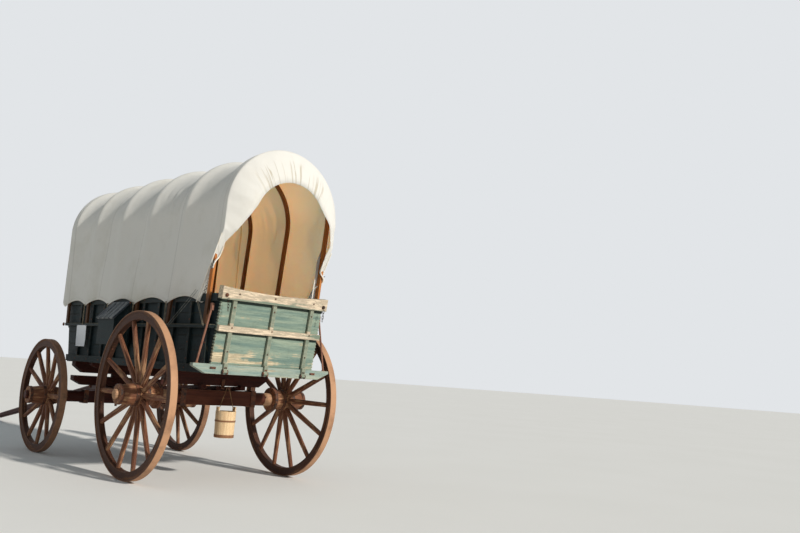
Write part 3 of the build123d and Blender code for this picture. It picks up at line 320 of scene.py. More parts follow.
plain_iron = iron("old_iron", (46, 38, 34), (112, 66, 42), 0.55)
bolt_ring = 0.0725  # how far inside the tyre's face the tyre bolts' nuts sit
beside_joint = 0.052  # the turn from a felloe joint to the bolt beside it
for axle, spoke_count in (("rear", 14), ("front", 12)):
    low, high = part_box(f"{axle}_left_tyre")
    centre = (low + high) / 2
    rim = high.z - centre.z
    step = 2 * math.pi / spoke_count

    def spoke_grain(place):
        far, turn, off = from_hub(place, centre)
        nearest = (turn / step).apply("ROUND")
        return join(far * 3.0, (turn - nearest * step) * far * 60 + nearest * 3.7, off * 60)

    def felloe_grain(place):
        far, turn, off = from_hub(place, centre)
        return join(turn * 1.8, far * 60, off * 60)

    def nave_grain(place):
        far, turn, off = from_hub(place, centre)
        return join(turn * 5, off * 5, far * 60)

    def rim_wear(place):
        far, turn, off = from_hub(place, centre)
        return far.between(rim - 0.04, rim - 0.012) * 0.05

    def tread_dust_and_shade(place):
        far, turn, off = from_hub(place, centre)
        patches = place.cloud(5.0, 6.0, 0.6).between(0.1, 0.6)
        # The front treads get less dust than the rear: painted shade of the wagon over the front wheels.
        return far.between(rim - 0.004, rim - 0.001) * patches * (0.72 if axle == "rear" else 0.3)

    spoke_finish = timber(
        f"{axle}_spoke_paint", spoke_grain,
        paint=(86, 48, 34), faded=(138, 90, 64), bare=(186, 142, 106), gone=0.47,
    )
    felloe_finish = timber(
        f"{axle}_felloe_paint", felloe_grain,
        paint=(58, 34, 24), faded=(86, 54, 38), bare=(142, 102, 74), gone=0.43, extra=rim_wear,
    )
    nave_finish = timber(
        f"{axle}_nave_paint", nave_grain,
        paint=(100, 60, 42), faded=(142, 96, 68), bare=(190, 142, 104), gone=0.48,
    )
    tyre_finish = iron(f"{axle}_tyre_iron", (50, 40, 36), (104, 68, 48), 0.62, tread_dust_and_shade)
    for side in ("left", "right"):
        wheel = f"{axle}_{side}"
        dress(spoke_finish, f"{wheel}_spokes")
        dress(felloe_finish, f"{wheel}_felloes")
        dress(nave_finish, f"{wheel}_hub")
        dress(tyre_finish, f"{wheel}_tyre")
        dress(plain_iron, f"{wheel}_bands")
        # Tyre bolts: their nuts sit on the felloes' inner faces, beside each joint
        hub_y = (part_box(f"{wheel}_tyre")[0].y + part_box(f"{wheel}_tyre")[1].y) / 2
        places, facing = [], []
        for index in range(spoke_count // 2):
            for beside in (-beside_joint, beside_joint):
                turn = (2 * index + (side == "left")) * step + step / 2 + beside
                way = Vector((math.cos(turn), 0, math.sin(turn)))
                places.append(Vector((centre.x, hub_y, centre.z)) + way * (rim - bolt_ring))
                facing.append(-way)
        rivets(f"{wheel}_tyre_bolts", places, facing, 0.008, plain_iron, f"{wheel}_wheel")

# The running gear is heavy oak under dark red paint: axle beams, bolsters, hounds, the
# reach and the pole, strapped together with black iron.


def arm_wear_and_highlight(place):
    """The axle's ends are rubbed bare beside the naves, to a pale tan that is partly a painted highlight."""
    return abs(place.part("Y")).between(0.44, 0.49) * 0.22


gear_red = {"paint": (50, 17, 11), "faded": (72, 28, 19), "bare": (118, 78, 54), "gone": 0.36}
gear_across = timber("gear_paint_across", (34, 2.6, 34), **gear_red)
axle_paint = timber(
    "axle_paint", (34, 2.6, 34),
    paint=(70, 30, 20), faded=(100, 54, 36), bare=(206, 160, 124), gone=0.39, extra=arm_wear_and_highlight,
)
gear_along = timber("gear_paint_along", (2.6, 34, 34), **gear_red)
dress(axle_paint, "rear_axle")
dress(gear_across, "front_axle", "rear_bolster", "front_bolster", "sand_board", "sway_bar", "cross_sills")
dress(gear_along, "rear_hounds", "reach", "front_hounds", "tongue")
dress(plain_iron, "rear_clips", "front_clips", "king_pin", "tongue_pin", "tongue_cap")
dress(plain_iron, "gate_lugs", "pail_hanger", "toolbox_hinge")

# The box is of wide pine boards painted dark blue-green, nailed to rails and ribs whose
# edges have weathered paler.
bow_foot_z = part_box("bows")[0].z
side_foot_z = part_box("side_boards_left")[0].z
box_height = 0.615
seam_heights = [side_foot_z + box_height * share for share in (0.28, 0.47, 0.76)]


def board_tone(place):
    """Each wide board has lost a different share of its paint."""
    height = place.part("Z")
    number = (height > seam_heights[0]) + (height > seam_heights[1]) + (height > seam_heights[2])
    odd = number.node("ShaderNodeTexWhiteNoise", {"noise_dimensions": "1D"}, {"W": number + 0.3}, "Value")
    return (odd - 0.5) * 0.10


def rail_edge(place):
    """The upper edge of the mid rail is rubbed bare."""
    height = place.part("Z") - bow_foot_z
    return height.between(-0.007, -0.004) * height.between(0.004, 0.001) * 0.2


def lid_battens(place):
    """The lid's raised boards are weathered grey and its grooves keep their paint."""
    low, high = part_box("toolbox_lid")
    lid_boards = 4
    along = ((place.part("X") - low.x) / (high.x - low.x) * lid_boards).apply("FRACT")
    return along.between(0.18, 0.3) * along.between(0.95, 0.85) * 0.16 - 0.05


board_paint = timber(
    "box_board_paint", (2.2, 38, 38), paint=(13, 25, 27), faded=(24, 40, 43), bare=(78, 76, 62),
    gone=0.36, dirt_and_shade=(12, 14, 11), extra=board_tone,
)
frame_paint = timber(
    "box_frame_paint", (5, 26, 26), paint=(14, 25, 27), faded=(29, 43, 45), bare=(98, 94, 78),
    gone=0.41, dirt_and_shade=(12, 14, 11), extra=rail_edge,
)
front_paint = timber(
    "box_front_paint", (38, 2.2, 38), paint=(20, 30, 30), faded=(36, 48, 48), bare=(96, 92, 78),
    gone=0.38, dirt_and_shade=(14, 15, 12),
)
lid_paint = timber(
    "lid_paint", (40, 5, 5), paint=(30, 40, 50), faded=(84, 92, 98), bare=(150, 152, 152),
    gone=0.45, dirt_and_shade=(16, 18, 20), extra=lid_battens,
)
floor_wood = timber(
    "floor_wood", (2.2, 30, 30), paint=(92, 80, 64), faded=(122, 108, 88), bare=(146, 130, 108), gone=0.5
)
dress(board_paint, "side_boards_left", "side_boards_right")
dress(frame_paint, "side_frame_left", "side_frame_right")
dress(front_paint, "front_end")
dress(floor_wood, "floor_boards")
dress(board_paint, "toolbox_case")
dress(lid_paint, "toolbox_lid")

# The rear sill and the drop gate stand in the full weather: pale green paint flaking to
# cream wood, with two bare rails.
gate_rib_ys = (-0.368, 0.0, 0.368)
rail_feet = (1.210, 1.452)  # the lower edges of the gate's mid and top rails


def gate_flakes(place):
    """The paint has gone first at the foot of each panel."""
    height = place.part("Z")
    return height.between(1.12, 1.00) * height.between(0.955, 0.985) * 0.115


def painted_rib_shadows(place):
    """Painted shadow: a dark line on the boards at the left of each rib and below each rail, where the ribs
    and rails cast their shade.
    """
    across, height = place.part("Y"), place.part("Z")
    dark = 0.0
    for rib_y in gate_rib_ys:
        dark = dark + across.between(rib_y + 0.0245, rib_y + 0.021) * (across > rib_y)
    for foot in rail_feet:
        dark = dark + height.between(foot - 0.0175, foot - 0.013) * (height < foot + 0.01)
    return (dark * 0.86).apply("MINIMUM", 0.86)


gate_paint = timber(
    "gate_board_paint", (30, 1.6, 30), paint=(108, 131, 122), faded=(150, 164, 145), bare=(224, 206, 172),
    gone=0.415, dirt_and_shade=(38, 48, 42), extra=gate_flakes, stain=painted_rib_shadows,
)


def rail_wear(place):
    """The two rails have lost most of their paint, the ribs between them little."""
    height = place.part("Z")
    top = height.between(1.455, 1.475)
    middle = height.between(1.205, 1.212) * height.between(1.285, 1.275)
    return (top * 0.20).apply("MAXIMUM", middle * 0.205)


rail_paint = timber(
    "gate_frame_paint", (22, 2.4, 22), paint=(118, 132, 116), faded=(150, 154, 134), bare=(232, 212, 184),
    gone=0.40, dirt_and_shade=(96, 92, 76), extra=rail_wear,
)
sill_paint = timber(
    "sill_paint", (26, 1.8, 26), paint=(122, 146, 142), faded=(166, 172, 154), bare=(198, 184, 158),
    gone=0.43, dirt_and_shade=(84, 92, 84),
)
rod_paint = iron("rod_paint", (112, 70, 56), (140, 96, 76), 0.6)
dress(gate_paint, "gate_boards")
dress(rail_paint, "gate_frame")
dress(sill_paint, "rear_sill")
dress(rod_paint, "brace_rods")

# Bolts and small ironwork: domed heads hold the gate's ribs and rails, iron plates cover
# the sill's mortises, and short chains hang from the ends of the top rail.
sill_back, sill_front = (corner.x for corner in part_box("rear_sill"))
gate_foot_z = 0.964
gate_inset = 0.028  # from the sill's front face to the gate's outer face at its foot
gate_tilt = math.radians(8.2)
gate_back = Vector((-math.cos(gate_tilt), 0, -math.sin(gate_tilt)))


def on_gate(y, height, proud):
    """A point on the gate's outer face, proud of its boards, at a height above the ground."""
    x = sill_front - gate_inset - (height - gate_foot_z) * math.tan(gate_tilt)
    return Vector((x - proud, y, height))


places = []
for y in gate_rib_ys:
    places += [on_gate(y, 1.06, 0.0235), on_gate(y, 1.40, 0.0235), on_gate(y, 1.243, 0.0335)]
    places += [on_gate(y + beside, 0.935, 0.0415) for beside in (-0.006, 0.007)]
rivets("gate_bolts", places, [gate_back] * len(places), 0.0065, plain_iron, "rear_gate")
places = [on_gate(y, 1.505, 0.0375) for y in (-0.36, 0.02, 0.35)]
rivets("gate_rail_bolts", places, [gate_back] * 3, 0.007, plain_iron, "rear_gate")

places, facing = [], []
first_rib, rib_pitch = -0.600, 0.276
for index in range(10):
    x = rear_axle_x + first_rib + rib_pitch * index
    for height in (0.916, 0.99, 1.12, 1.30, 1.40, 1.47):
        behind_toolbox = 0.705 < x - rear_axle_x < 1.05 and 1.05 < height
        if behind_toolbox:
            continue
        for side in (1, -1):
            out = 0.510 if height < 0.95 else 0.505 if height > 1.44 else 0.502
            places.append(Vector((x, side * out, height)))
            facing.append((0, side, 0))
rivets("side_bolts", places, facing, 0.007, plain_iron, "wagon")

plate_z = 0.930
shape = bmesh.new()
for y in (-0.47, 0.47):
    plate = Matrix.Translation((sill_back, y, plate_z)) @ Matrix.Diagonal((0.007, 0.052, 0.017, 1.0))
    bmesh.ops.create_cube(shape, size=1.0, matrix=plate)
    for beside in (-0.017, 0.017):
        head = Matrix.Translation((sill_back - 0.004, y + beside, plate_z))
        bmesh.ops.create_uvsphere(shape, u_segments=10, v_segments=6, radius=0.006, matrix=head)
sill_plates = link_piece("sill_plates", shape, plain_iron)
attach(sill_plates, "wagon")


def link(shape, centre, length, width, wire, quarter):
    """One forged chain link: a full turn of a round section, drawn out to its length."""
    ring = bmesh.ops.create_circle(shape, segments=8, radius=wire / 2)["verts"]
    bmesh.ops.rotate(shape, verts=ring, cent=(0, 0, 0), matrix=Matrix.Rotation(math.pi / 2, 3, "X"))
    bmesh.ops.translate(shape, verts=ring, vec=(width / 2 - wire / 2, 0, 0))
    edges = {edge for vert in ring for edge in vert.link_edges}
    before = set(shape.verts) - set(ring)
    sweep = {"cent": (0, 0, 0), "axis": (0, 1, 0), "angle": math.tau, "steps": 16, "use_merge": True}
    bmesh.ops.spin(shape, geom=list(ring) + list(edges), **sweep)
    made = [vert for vert in shape.verts if vert not in before]
    for vert in made:
        stretch = (length - width) / 2
        vert.co.z += stretch if vert.co.z > 1e-5 else -stretch if vert.co.z < -1e-5 else 0.0
    bmesh.ops.transform(shape, verts=made, matrix=Matrix.Translation(centre) @ quarter)


for side, name in ((1, "left"), (-1, "right")):
    shape = bmesh.new()
    bolt = Matrix.Translation(on_gate(side * 0.462, 1.488, 0.0380))
    bmesh.ops.create_uvsphere(shape, u_segments=12, v_segments=8, radius=0.015, matrix=bolt)
    hang = on_gate(side * 0.455, 1.470, 0.050)
    for index in range(4):
        quarter = Matrix.Rotation(math.radians(90 * index + 20), 4, "Z")
        below = Vector((-0.004, side * -0.002 * index, -0.019 - 0.024 * index))
        link(shape, hang + below, 0.034, 0.019, 0.005, quarter)
    bmesh.ops.recalc_face_normals(shape, faces=shape.faces)
    smooth(shape)
    chain = link_piece(f"gate_chain_{name}", shape, plain_iron)
    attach(chain, "rear_gate")


# Six bows of bent ash, varnished by age to an orange brown, stand on the mid rails and
# carry the cover.
bow_spring_z = 2.1905


def bow_grain(place):
    """The grain runs up the legs and over the arch."""
    x, y, z = (place.part(axis) for axis in "XYZ")
    over = (z - bow_spring_z).apply("MAXIMUM", 0.0)
    out = (y * y + over * over) ** 0.5
    round_it = over.apply("ARCTAN2", abs(y)) * 0.5 + z.apply("MINIMUM", bow_spring_z)
    return join(x * 45, round_it * 3, out * 45)


def bow_painted_shade(place):
    """Painted shade: below the hem the bows are darkened to the box's tone."""
    return (place.part("Z") + place.cloud(9.0, 3.0, 0.6) * 0.12).between(1.60, 1.50) * 0.88


bow_finish = timber(
    "bow_wood", bow_grain, paint=(176, 104, 48), faded=(206, 134, 70), bare=(222, 164, 104),
    gone=0.4, dirt_and_shade=(34, 26, 20), stain=bow_painted_shade,
)
dress(bow_finish, "bows")

# The pail is coopered of pale pine staves in two hoops, and hangs on a rope bail.
pail_low, pail_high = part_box("pail")
pail_axis = (pail_low + pail_high) / 2
stave_count = 16


def round_pail(place):
    """A place as staves round the pail, distance from its axis and height."""
    moved = place.moved_by(-pail_axis.x, -pail_axis.y, 0)
    x, y, z = (moved.part(axis) for axis in "XYZ")
    return y.apply("ARCTAN2", x) * (stave_count / math.tau), (x * x + y * y) ** 0.5, z


def stave_grain(place):
    turn, far, z = round_pail(place)
    number = turn.apply("FLOOR")
    return join(turn * 4 + number * 7, z * 5, far * 40 + number * 3)


def stave_joints(place):
    """The joints between staves keep their dirt."""
    turn = round_pail(place)[0]
    return abs(turn.apply("FRACT") - 0.5).between(0.46, 0.49) * -0.4


pail_finish = timber(
    "pail_pine", stave_grain, paint=(214, 178, 138), faded=(242, 214, 168), bare=(248, 222, 182),
    gone=0.45, dirt_and_shade=(138, 98, 62), extra=stave_joints,
)
hoop_finish = timber(
    "pail_hoop_wood", (30, 30, 8), paint=(128, 88, 62), faded=(152, 110, 80), bare=(170, 128, 94),
    gone=0.45, dirt_and_shade=(84, 58, 40),
)
dress(pail_finish, "pail")
dress(hoop_finish, "pail_hoops")

# The cover is one sheet of cream cotton canvas, sewn of widths that run over the bows,
# hemmed, tied down at each bow and drawn in at both ends. Each stop is x from the rear
# axle, the backward lean in degrees, and the height at which that x is measured.
# The first and last stops are the drawn lips, the next ones the hoods, and the rest the bows.
box_top_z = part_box("side_boards_left")[1].z
stops = [
    (-0.862, 0.0, bow_foot_z),
    (-0.747, 2.2, bow_foot_z),
    (-0.622, 5.5, box_top_z),
    (-0.010, 7.0, box_top_z),
    (0.605, 6.0, box_top_z),
    (1.150, 3.0, box_top_z),
    (1.685, -1.0, box_top_z),
    (2.180, -4.0, box_top_z),
    (2.305, 0.0, bow_foot_z),
    (2.372, 0.0, bow_foot_z),
]
first_bay, last_bay, front_lip = 2, 6, 8  # intervals between stops; the rear lip is 0
columns_between = (16, 10, 37, 37, 33, 32, 30, 8, 12)
rows_across = 218
cloth_out = 0.5272  # half the width over the bows' legs
cusp_z = 1.4245  # the hem's lowest points, one at each bow
hem_rise = 0.060  # how far the hem arches up between them
spring = 0.930  # where the bows' legs end and the arch starts, above the bows' feet
knee = 0.590  # below this the cloth stands a little off the bows
bow_hold = 0.026  # how far to either side of a bow's middle the cloth lies on it
sag_form = 2.6  # 2 would make each bay's sag a parabola; more makes it drop sooner
crown_sag, arch_sag, leg_sag, hem_sag = 0.010, 0.043, 0.033, 0.010
rear_rake = 0.548  # how far the rear edge runs forward for each metre down
flange = 0.050  # the width of the turned edge
rim_radius = 0.333
rim_centre = 0.8445  # its height above the bows' feet
rim_turn = math.radians(23.0)  # where the rim's round top gives way to its skirt
rim_flare = 0.52  # the skirt's run outward for each metre down
hem_cusps = [station + 0.050 for station, *_ in stops[7:2:-1]] + [-0.511]


def ease(share):
    """A soft step from 0 to 1."""
    share = min(1.0, max(0.0, share))
    return share * share * (3 - 2 * share)


def hem_height(x):
    """How high the hem is at x from the rear axle."""
    if x <= hem_cusps[-1]:
        return cusp_z + (hem_cusps[-1] - x) / rear_rake
    for front, rear in zip(hem_cusps, hem_cusps[1:]):
        if rear <= x <= front:
            share = (x - rear) / (front - rear)
            return cusp_z + hem_rise * 4 * share * (1 - share)
    return cusp_z + 8.0 * (x - hem_cusps[0]) ** 2


def foot_of(stop):
    """Where a leaning column stands at the height of the bows' feet, and its lean."""
    x, lean, height = stop
    return x + (height - bow_foot_z) * math.tan(math.radians(lean)), math.radians(lean)


def hem_up(foot, lean):
    """How far up a leaning column its hem lies."""
    edge = cusp_z
    for _ in range(8):
        edge = hem_height(foot - (edge - bow_foot_z) * math.tan(lean))
    return (edge - bow_foot_z) / math.cos(lean)


def over_bow(share, start_up, hang):
    """A column's line as far out and as high up, from its hem to the crown."""
    top = spring - crown_sag * hang
    arch = cloth_out - arch_sag * hang
    leg = max(0.0, top - start_up)
    travelled = share * (leg + math.pi / 2 * arch)
    if travelled >= leg:
        turn = (travelled - leg) / arch
        return arch * math.cos(turn), top + arch * math.sin(turn)
    up = start_up + travelled
    out = cloth_out - hang * (hem_sag + leg_sag * ease(up / top) ** 2)
    return out + 0.003 * max(0.0, 1 - up / knee), up


def turned(x, z):
    """How far the cloth's rear edge is turned forward and inward below the hood. Where it
    lies on the bow it stays flat."""
    beyond = max(0.0, hem_cusps[-1] + flange - (z - cusp_z) * rear_rake - x)
    share = ease((abs(z - 1.72) - 0.015) / 0.06)
    return beyond * 0.8 * share, beyond * 0.92 * share


def round_rim(share, start_out, start_up):
    """The drawn rim's line: a straight foot, a slanting skirt and a tight round top."""
    turn_out, turn_up = rim_radius * math.cos(rim_turn), rim_centre + rim_radius * math.sin(rim_turn)
    knee_up = max(start_up, turn_up - (start_out - turn_out) / rim_flare)
    foot = knee_up - start_up
    skirt = math.hypot(start_out - turn_out, turn_up - knee_up)
    travelled = share * (foot + skirt + rim_radius * (math.pi / 2 - rim_turn))
    if travelled < foot:
        return start_out, start_up + travelled
    if travelled < foot + skirt:
        part = (travelled - foot) / skirt
        return start_out + (turn_out - start_out) * part, knee_up + (turn_up - knee_up) * part
    turn = rim_turn + (travelled - foot - skirt) / rim_radius
    return rim_radius * math.cos(turn), rim_centre + rim_radius * math.sin(turn)


shape = bmesh.new()
shape.loops.layers.uv.new("UVMap")
lips = []
column_count = sum(columns_between)
bmesh.ops.create_grid(shape, x_segments=column_count, y_segments=rows_across, size=1.0, calc_uvs=True)
for vert in shape.verts:
    column = round((vert.co.x + 1) / 2 * column_count)
    index, before = 0, 0
    while column - before > columns_between[index]:
        before += columns_between[index]
        index += 1
    share = (column - before) / columns_between[index]
    (foot_a, lean_a), (foot_b, lean_b) = foot_of(stops[index]), foot_of(stops[index + 1])
    flat_band = bow_hold / abs(stops[index + 1][0] - stops[index][0])
    loose = min(1.0, max(0.0, (share - flat_band) / (1 - 2 * flat_band)))
    hang = 1 - abs(2 * loose - 1) ** sag_form if first_bay <= index <= last_bay else 0.0
    lip = {0: 1 - share, front_lip: share}.get(index, 0.0)
    if index == front_lip:
        foot_a, lean_a, foot_b, lean_b = foot_b, lean_b, foot_a, lean_a
    foot = foot_b if lip else foot_a + (foot_b - foot_a) * share
    lean = lean_b if lip else lean_a + (lean_b - lean_a) * share
    start_up = hem_up(foot, lean)
    out, up = over_bow(1 - abs(vert.co.y), start_up, hang)
    x, z = foot - up * math.sin(lean), bow_foot_z + up * math.cos(lean)
    forward, inward = turned(x, z)
    x, out = x + forward, out - inward
    if lip:
        start_x = foot - start_up * math.sin(lean)
        start_out = over_bow(0, start_up, 0)[0] - turned(start_x, bow_foot_z + start_up)[1]
        rim_out, rim_up = round_rim(1 - abs(vert.co.y), start_out, start_up)
        if vert.co.y < 0 and index == 0:  # the hood's right edge hangs slacker
            rim_out += 0.045 * ease((rim_up - start_up) / 0.12) * ease((1.04 - rim_up) / 0.16)
        rim_x = foot - rim_up * math.sin(lean)
        rim_x += turned(rim_x, bow_foot_z + rim_up)[0] + (foot_a - foot_b) * ease((rim_up - 0.60) / 0.36)
        rolled = 0.5 * lip + 0.5 * (1 - math.sqrt(max(0.0, 1 - lip * lip)))
        x, out = x + (rim_x - x) * lip, out + (rim_out - out) * rolled
        z += (bow_foot_z + rim_up - z) * rolled
    lips.append(lip)
    vert.co = Vector((rear_axle_x + x, out if vert.co.y > 0 else -out, z))
smooth(shape)
shape.normal_update()

# Folds: shallow drapes in each bay, a few ripples in the second bay from the rear,
# lumps at the drawn ends, and a fine crumple
moves = []
for vert, lip in zip(shape.verts, lips):
    place = vert.co
    x = place.x - rear_axle_x
    way = vert.normal if vert.normal.dot(Vector((0, place.y, place.z - 2.0))) > 0 else -vert.normal
    turn = math.atan2(place.z - 2.1, abs(place.y))
    nearest = min(abs(x + (place.z - z) * math.tan(math.radians(lean)) - at) for at, lean, z in stops[2:8])
    free = ease((nearest - 0.024) / 0.12)
    round_it = place.z if turn < 0 else 2.1 + turn * 0.5
    drape = noise.noise(Vector((place.x * 6.0 + round_it * 0.8, round_it * 0.9, place.y * 0.4)))
    fold = 0.006 * drape * free
    ripple = ease((0.36 - abs(x - 0.26)) / 0.2) * ease((0.5 - abs(turn - 0.35)) / 0.3) * free
    fold += 0.008 * ripple * noise.noise(Vector((x * 22.0, round_it * 2.5, 3.7)))
    crumple = noise.noise(place * 13.0) + 0.5 * noise.noise(place * 31.0)
    fold += 0.0013 * crumple * (0.25 + 0.75 * free)
    if lip:
        line = noise.noise(Vector((turn * 7.0 * (1 if place.y > 0 else -1), x, 0.4)))
        fold += 0.007 * line * lip * (1 - lip) * 4 * ease((turn + 0.2) / 0.4)
    moves.append(way * (fold if free > 0.02 else max(fold, -0.0004)))
for vert, move in zip(shape.verts, moves):
    vert.co += move


uv_length, uv_girth = 3.3, 3.2  # what the whole UV map counts as, along and across, in metres
width_sewn = 0.66  # from seam to seam
stitch_pitch = 0.007
weave_rate = 2400


def canvas(name, clean, soiled, seam, glow, reach):
    """Woven cotton: warp and weft in the bump, stains, and seams where widths meet. The
    glow and its reach say how much light comes through the cloth, and of what colour."""
    finish, start, skin = new_finish(
        name,
        {
            "Specular IOR Level": 0.2,
            "Sheen Weight": 0.1,
            "Sheen Roughness": 0.5,
            "Subsurface Weight": glow,
            "Subsurface Radius": reach,
            "Subsurface Scale": 0.05,
        },
    )
    place = start.node("ShaderNodeTexCoord", {}, {}, "Object")
    flat = start.node("ShaderNodeUVMap", {"uv_map": "UVMap"}, {})
    u, v = flat.part("X") * uv_length, flat.part("Y") * uv_girth
    height = place.part("Z")
    stain = place.cloud(2.6, 6.0, 0.62)
    off_seam = abs((u / width_sewn).apply("FRACT") - 0.5) * width_sewn
    sewn = off_seam.between(0.0085, 0.006)
    stitch = abs(off_seam - 0.0062).between(0.0014, 0.0004) * ((v / stitch_pitch).apply("FRACT") > 0.3)
    edge = (0.5 - abs(v / uv_girth - 0.5)) * uv_girth
    hem = edge.between(0.034, 0.031)
    hem_stitch = abs(edge - 0.028).between(0.0014, 0.0004) * ((u / stitch_pitch).apply("FRACT") > 0.3)
    around = join(u * 1.6, v * 12.0, 0.7).cloud(1.0, 3.0, 0.5)
    drawn = join(u * 0.6, v * 3.0, 5.2).cloud(1.0, 2.0, 0.5).between(0.38, 0.50)
    ends = u.between(0.15, 0.06) + u.between(uv_length - 0.13, uv_length - 0.02)
    rim = ends * abs(v / uv_girth - 0.5).between(0.24, 0.14)
    crease = abs(around - 0.5).between(0.034, 0.006) * rim * drawn
    dirty = stain.between(0.5, 0.72) * 0.35 + height.between(1.62, 1.42) * stain.between(0.4, 0.6) * 0.4
    colour = dirty.mix(shade(*clean), shade(*soiled))
    colour = (sewn * seam).mix(colour, shade(*[c * 0.72 for c in soiled]))
    # Painted shade: the creases at the drawn rims are darkened.
    colour = (crease * 0.6).mix(colour, shade(176, 160, 128))
    ((stitch + hem_stitch) * 0.5).mix(colour, shade(150, 138, 118)).into(skin["Base Color"])
    (0.82 + stain * 0.12).into(skin["Roughness"])
    weave = (u * weave_rate).apply("SINE") * (v * weave_rate).apply("SINE")
    cloth = weave * 0.05 + sewn * 0.9 + hem * 0.9 - (stitch + hem_stitch) * 0.5
    roughen(skin, cloth + place.cloud(30.0, 4.0, 0.6) * 0.8 - crease * 3.0, 0.6, 0.0016)
    return finish


def thicken(sheet, name, thickness):
    """Gives a sheet its thickness, half to either side."""
    wall = sheet.modifiers.new(name, "SOLIDIFY")
    wall.thickness = thickness
    wall.offset = 0.0
    return wall


canvas_outside = canvas("canvas_outside", (228, 225, 217), (204, 199, 184), 0.12, 0.15, (0.5, 0.45, 0.4))
# The inside is a warmer, brighter cream than the outside, painted light of the sun through the cloth, and its
# seams are darker, painted shade where the cloth lies double.
canvas_inside = canvas("canvas_inside", (255, 218, 184), (250, 205, 166), 0.9, 0.95, (1.6, 0.42, 0.24))
cover = link_piece("canvas_cover", shape, canvas_outside)
cover.data.materials.append(canvas_inside)
canvas_thickness = 0.0022
thicken(cover, "canvas_thickness", canvas_thickness).material_offset = 1
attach(cover, "wagon")
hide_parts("cover")

# A narrow facing of the same canvas is sewn inside the right edge, and stands out from it
# in front of the rear bow.
facing_seam_y, facing_top, facing_length = -0.5235, 2.020, 0.450
shape = bmesh.new()
shape.loops.layers.uv.new("UVMap")
bmesh.ops.create_grid(shape, x_segments=8, y_segments=60, size=1.0, calc_uvs=True)
for vert in shape.verts:
    outward, down = (vert.co.x + 1) / 2, (1 - vert.co.y) / 2
    reach = 0.008 + 0.030 * ease(down / 0.35) + 0.008 * down
    x = -0.640 + 0.036 * down + 0.006 * math.sin(outward * math.pi) + 0.003 * math.sin(down * 9.0)
    y = facing_seam_y + reach * (1 - outward)
    vert.co = Vector((rear_axle_x + x, y, facing_top - facing_length * down))
bmesh.ops.recalc_face_normals(shape, faces=shape.faces)
smooth(shape)
facing = link_piece("edge_facing", shape, canvas_outside)
thicken(facing, "canvas_thickness", canvas_thickness)
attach(facing, "wagon")


# Ropes and cords of three strands: they tie each hem cusp down to the mid rail, bind and
# lace the hood's edges at the rear bow, and hold its corner with two guy cords and two ties.
def cordage(name, clean, soiled):
    """Laid fibre: soil in patches and a hairy surface."""
    finish, start, skin = new_finish(name, {"Specular IOR Level": 0.15, "Roughness": 0.9})
    place = start.node("ShaderNodeTexCoord", {}, {}, "Object")
    place.cloud(24.0, 4.0, 0.6).between(0.35, 0.7).mix(shade(*clean), shade(*soiled)).into(skin["Base Color"])
    roughen(skin, place.cloud(400.0, 3.0, 0.6), 0.5, 0.001)
    return finish


rope_finish = cordage("cotton_rope", (250, 246, 238), (234, 226, 208))
dull_rope = cordage("old_rope", (178, 168, 148), (120, 110, 92))
# The lacing cord is a real cord, coloured dark as painted shade of the slots between the edge ropes.
dark_cord = cordage("lacing_cord_shade", (92, 94, 90), (62, 60, 54))
guy_cord = cordage("guy_cord", (150, 152, 146), (110, 108, 100))


def smooth_route(points):
    """A curve object's own smooth line through a rope's few points."""
    line = bpy.data.curves.new("rope_line", "CURVE")
    line.dimensions = "3D"
    line.resolution_u = 10
    spline = line.splines.new("NURBS")
    spline.points.add(len(points) - 1)
    for held, point in zip(spline.points, points):
        held.co = (*point, 1.0)
    spline.order_u = 3
    spline.use_endpoint_u = True
    return line


def drawn_points(points):
    """The points along a rope's smooth line."""
    holder = bpy.data.objects.new("rope_line", smooth_route(points))
    drawn = [vert.co.copy() for vert in bpy.data.meshes.new_from_object(holder).vertices]
    bpy.data.objects.remove(holder)
    return drawn


def rope(name, routes, radius, body, finish):
    """Three strands laid round each route, and joined as one piece."""
    strands = bpy.data.curves.new(name, "CURVE")
    strands.dimensions = "3D"
    strands.bevel_depth = radius * 0.54
    strands.bevel_resolution = 1
    strands.use_fill_caps = True
    for points in routes:
        drawn = drawn_points(points)
        steps, travelled = [], 0.0
        for a, b in zip(drawn, drawn[1:]):
            length = (b - a).length
            pieces = max(1, round(length / (radius * 1.6)))
            for step in range(pieces):
                share = step / pieces
                steps.append((a.lerp(b, share), (b - a).normalized(), travelled + length * step / pieces))
            travelled += length
        steps.append((drawn[-1], steps[-1][1], travelled))
        for strand in range(3):
            spline = strands.splines.new("POLY")
            spline.points.add(len(steps) - 1)
            for held, (place, ahead, gone) in zip(spline.points, steps):
                over = ahead.orthogonal() if abs(ahead.x) > 0.9 else ahead.cross(Vector((1, 0, 0)))
                over.normalize()
                beside = ahead.cross(over)
                turn = gone / (radius * 7) * math.tau + strand * math.tau / 3
                held.co = (*(place + (over * math.cos(turn) + beside * math.sin(turn)) * radius * 0.5), 1.0)
    holder = bpy.data.objects.new(name + "_strands", strands)
    mesh = bpy.data.meshes.new_from_object(holder)
    bpy.data.objects.remove(holder)
    mesh.materials.clear()
    mesh.materials.append(finish)
    for face in mesh.polygons:
        face.use_smooth = True
    piece = bpy.data.objects.new(name, mesh)
    bpy.context.scene.collection.objects.link(piece)
    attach(piece, body)
    return piece


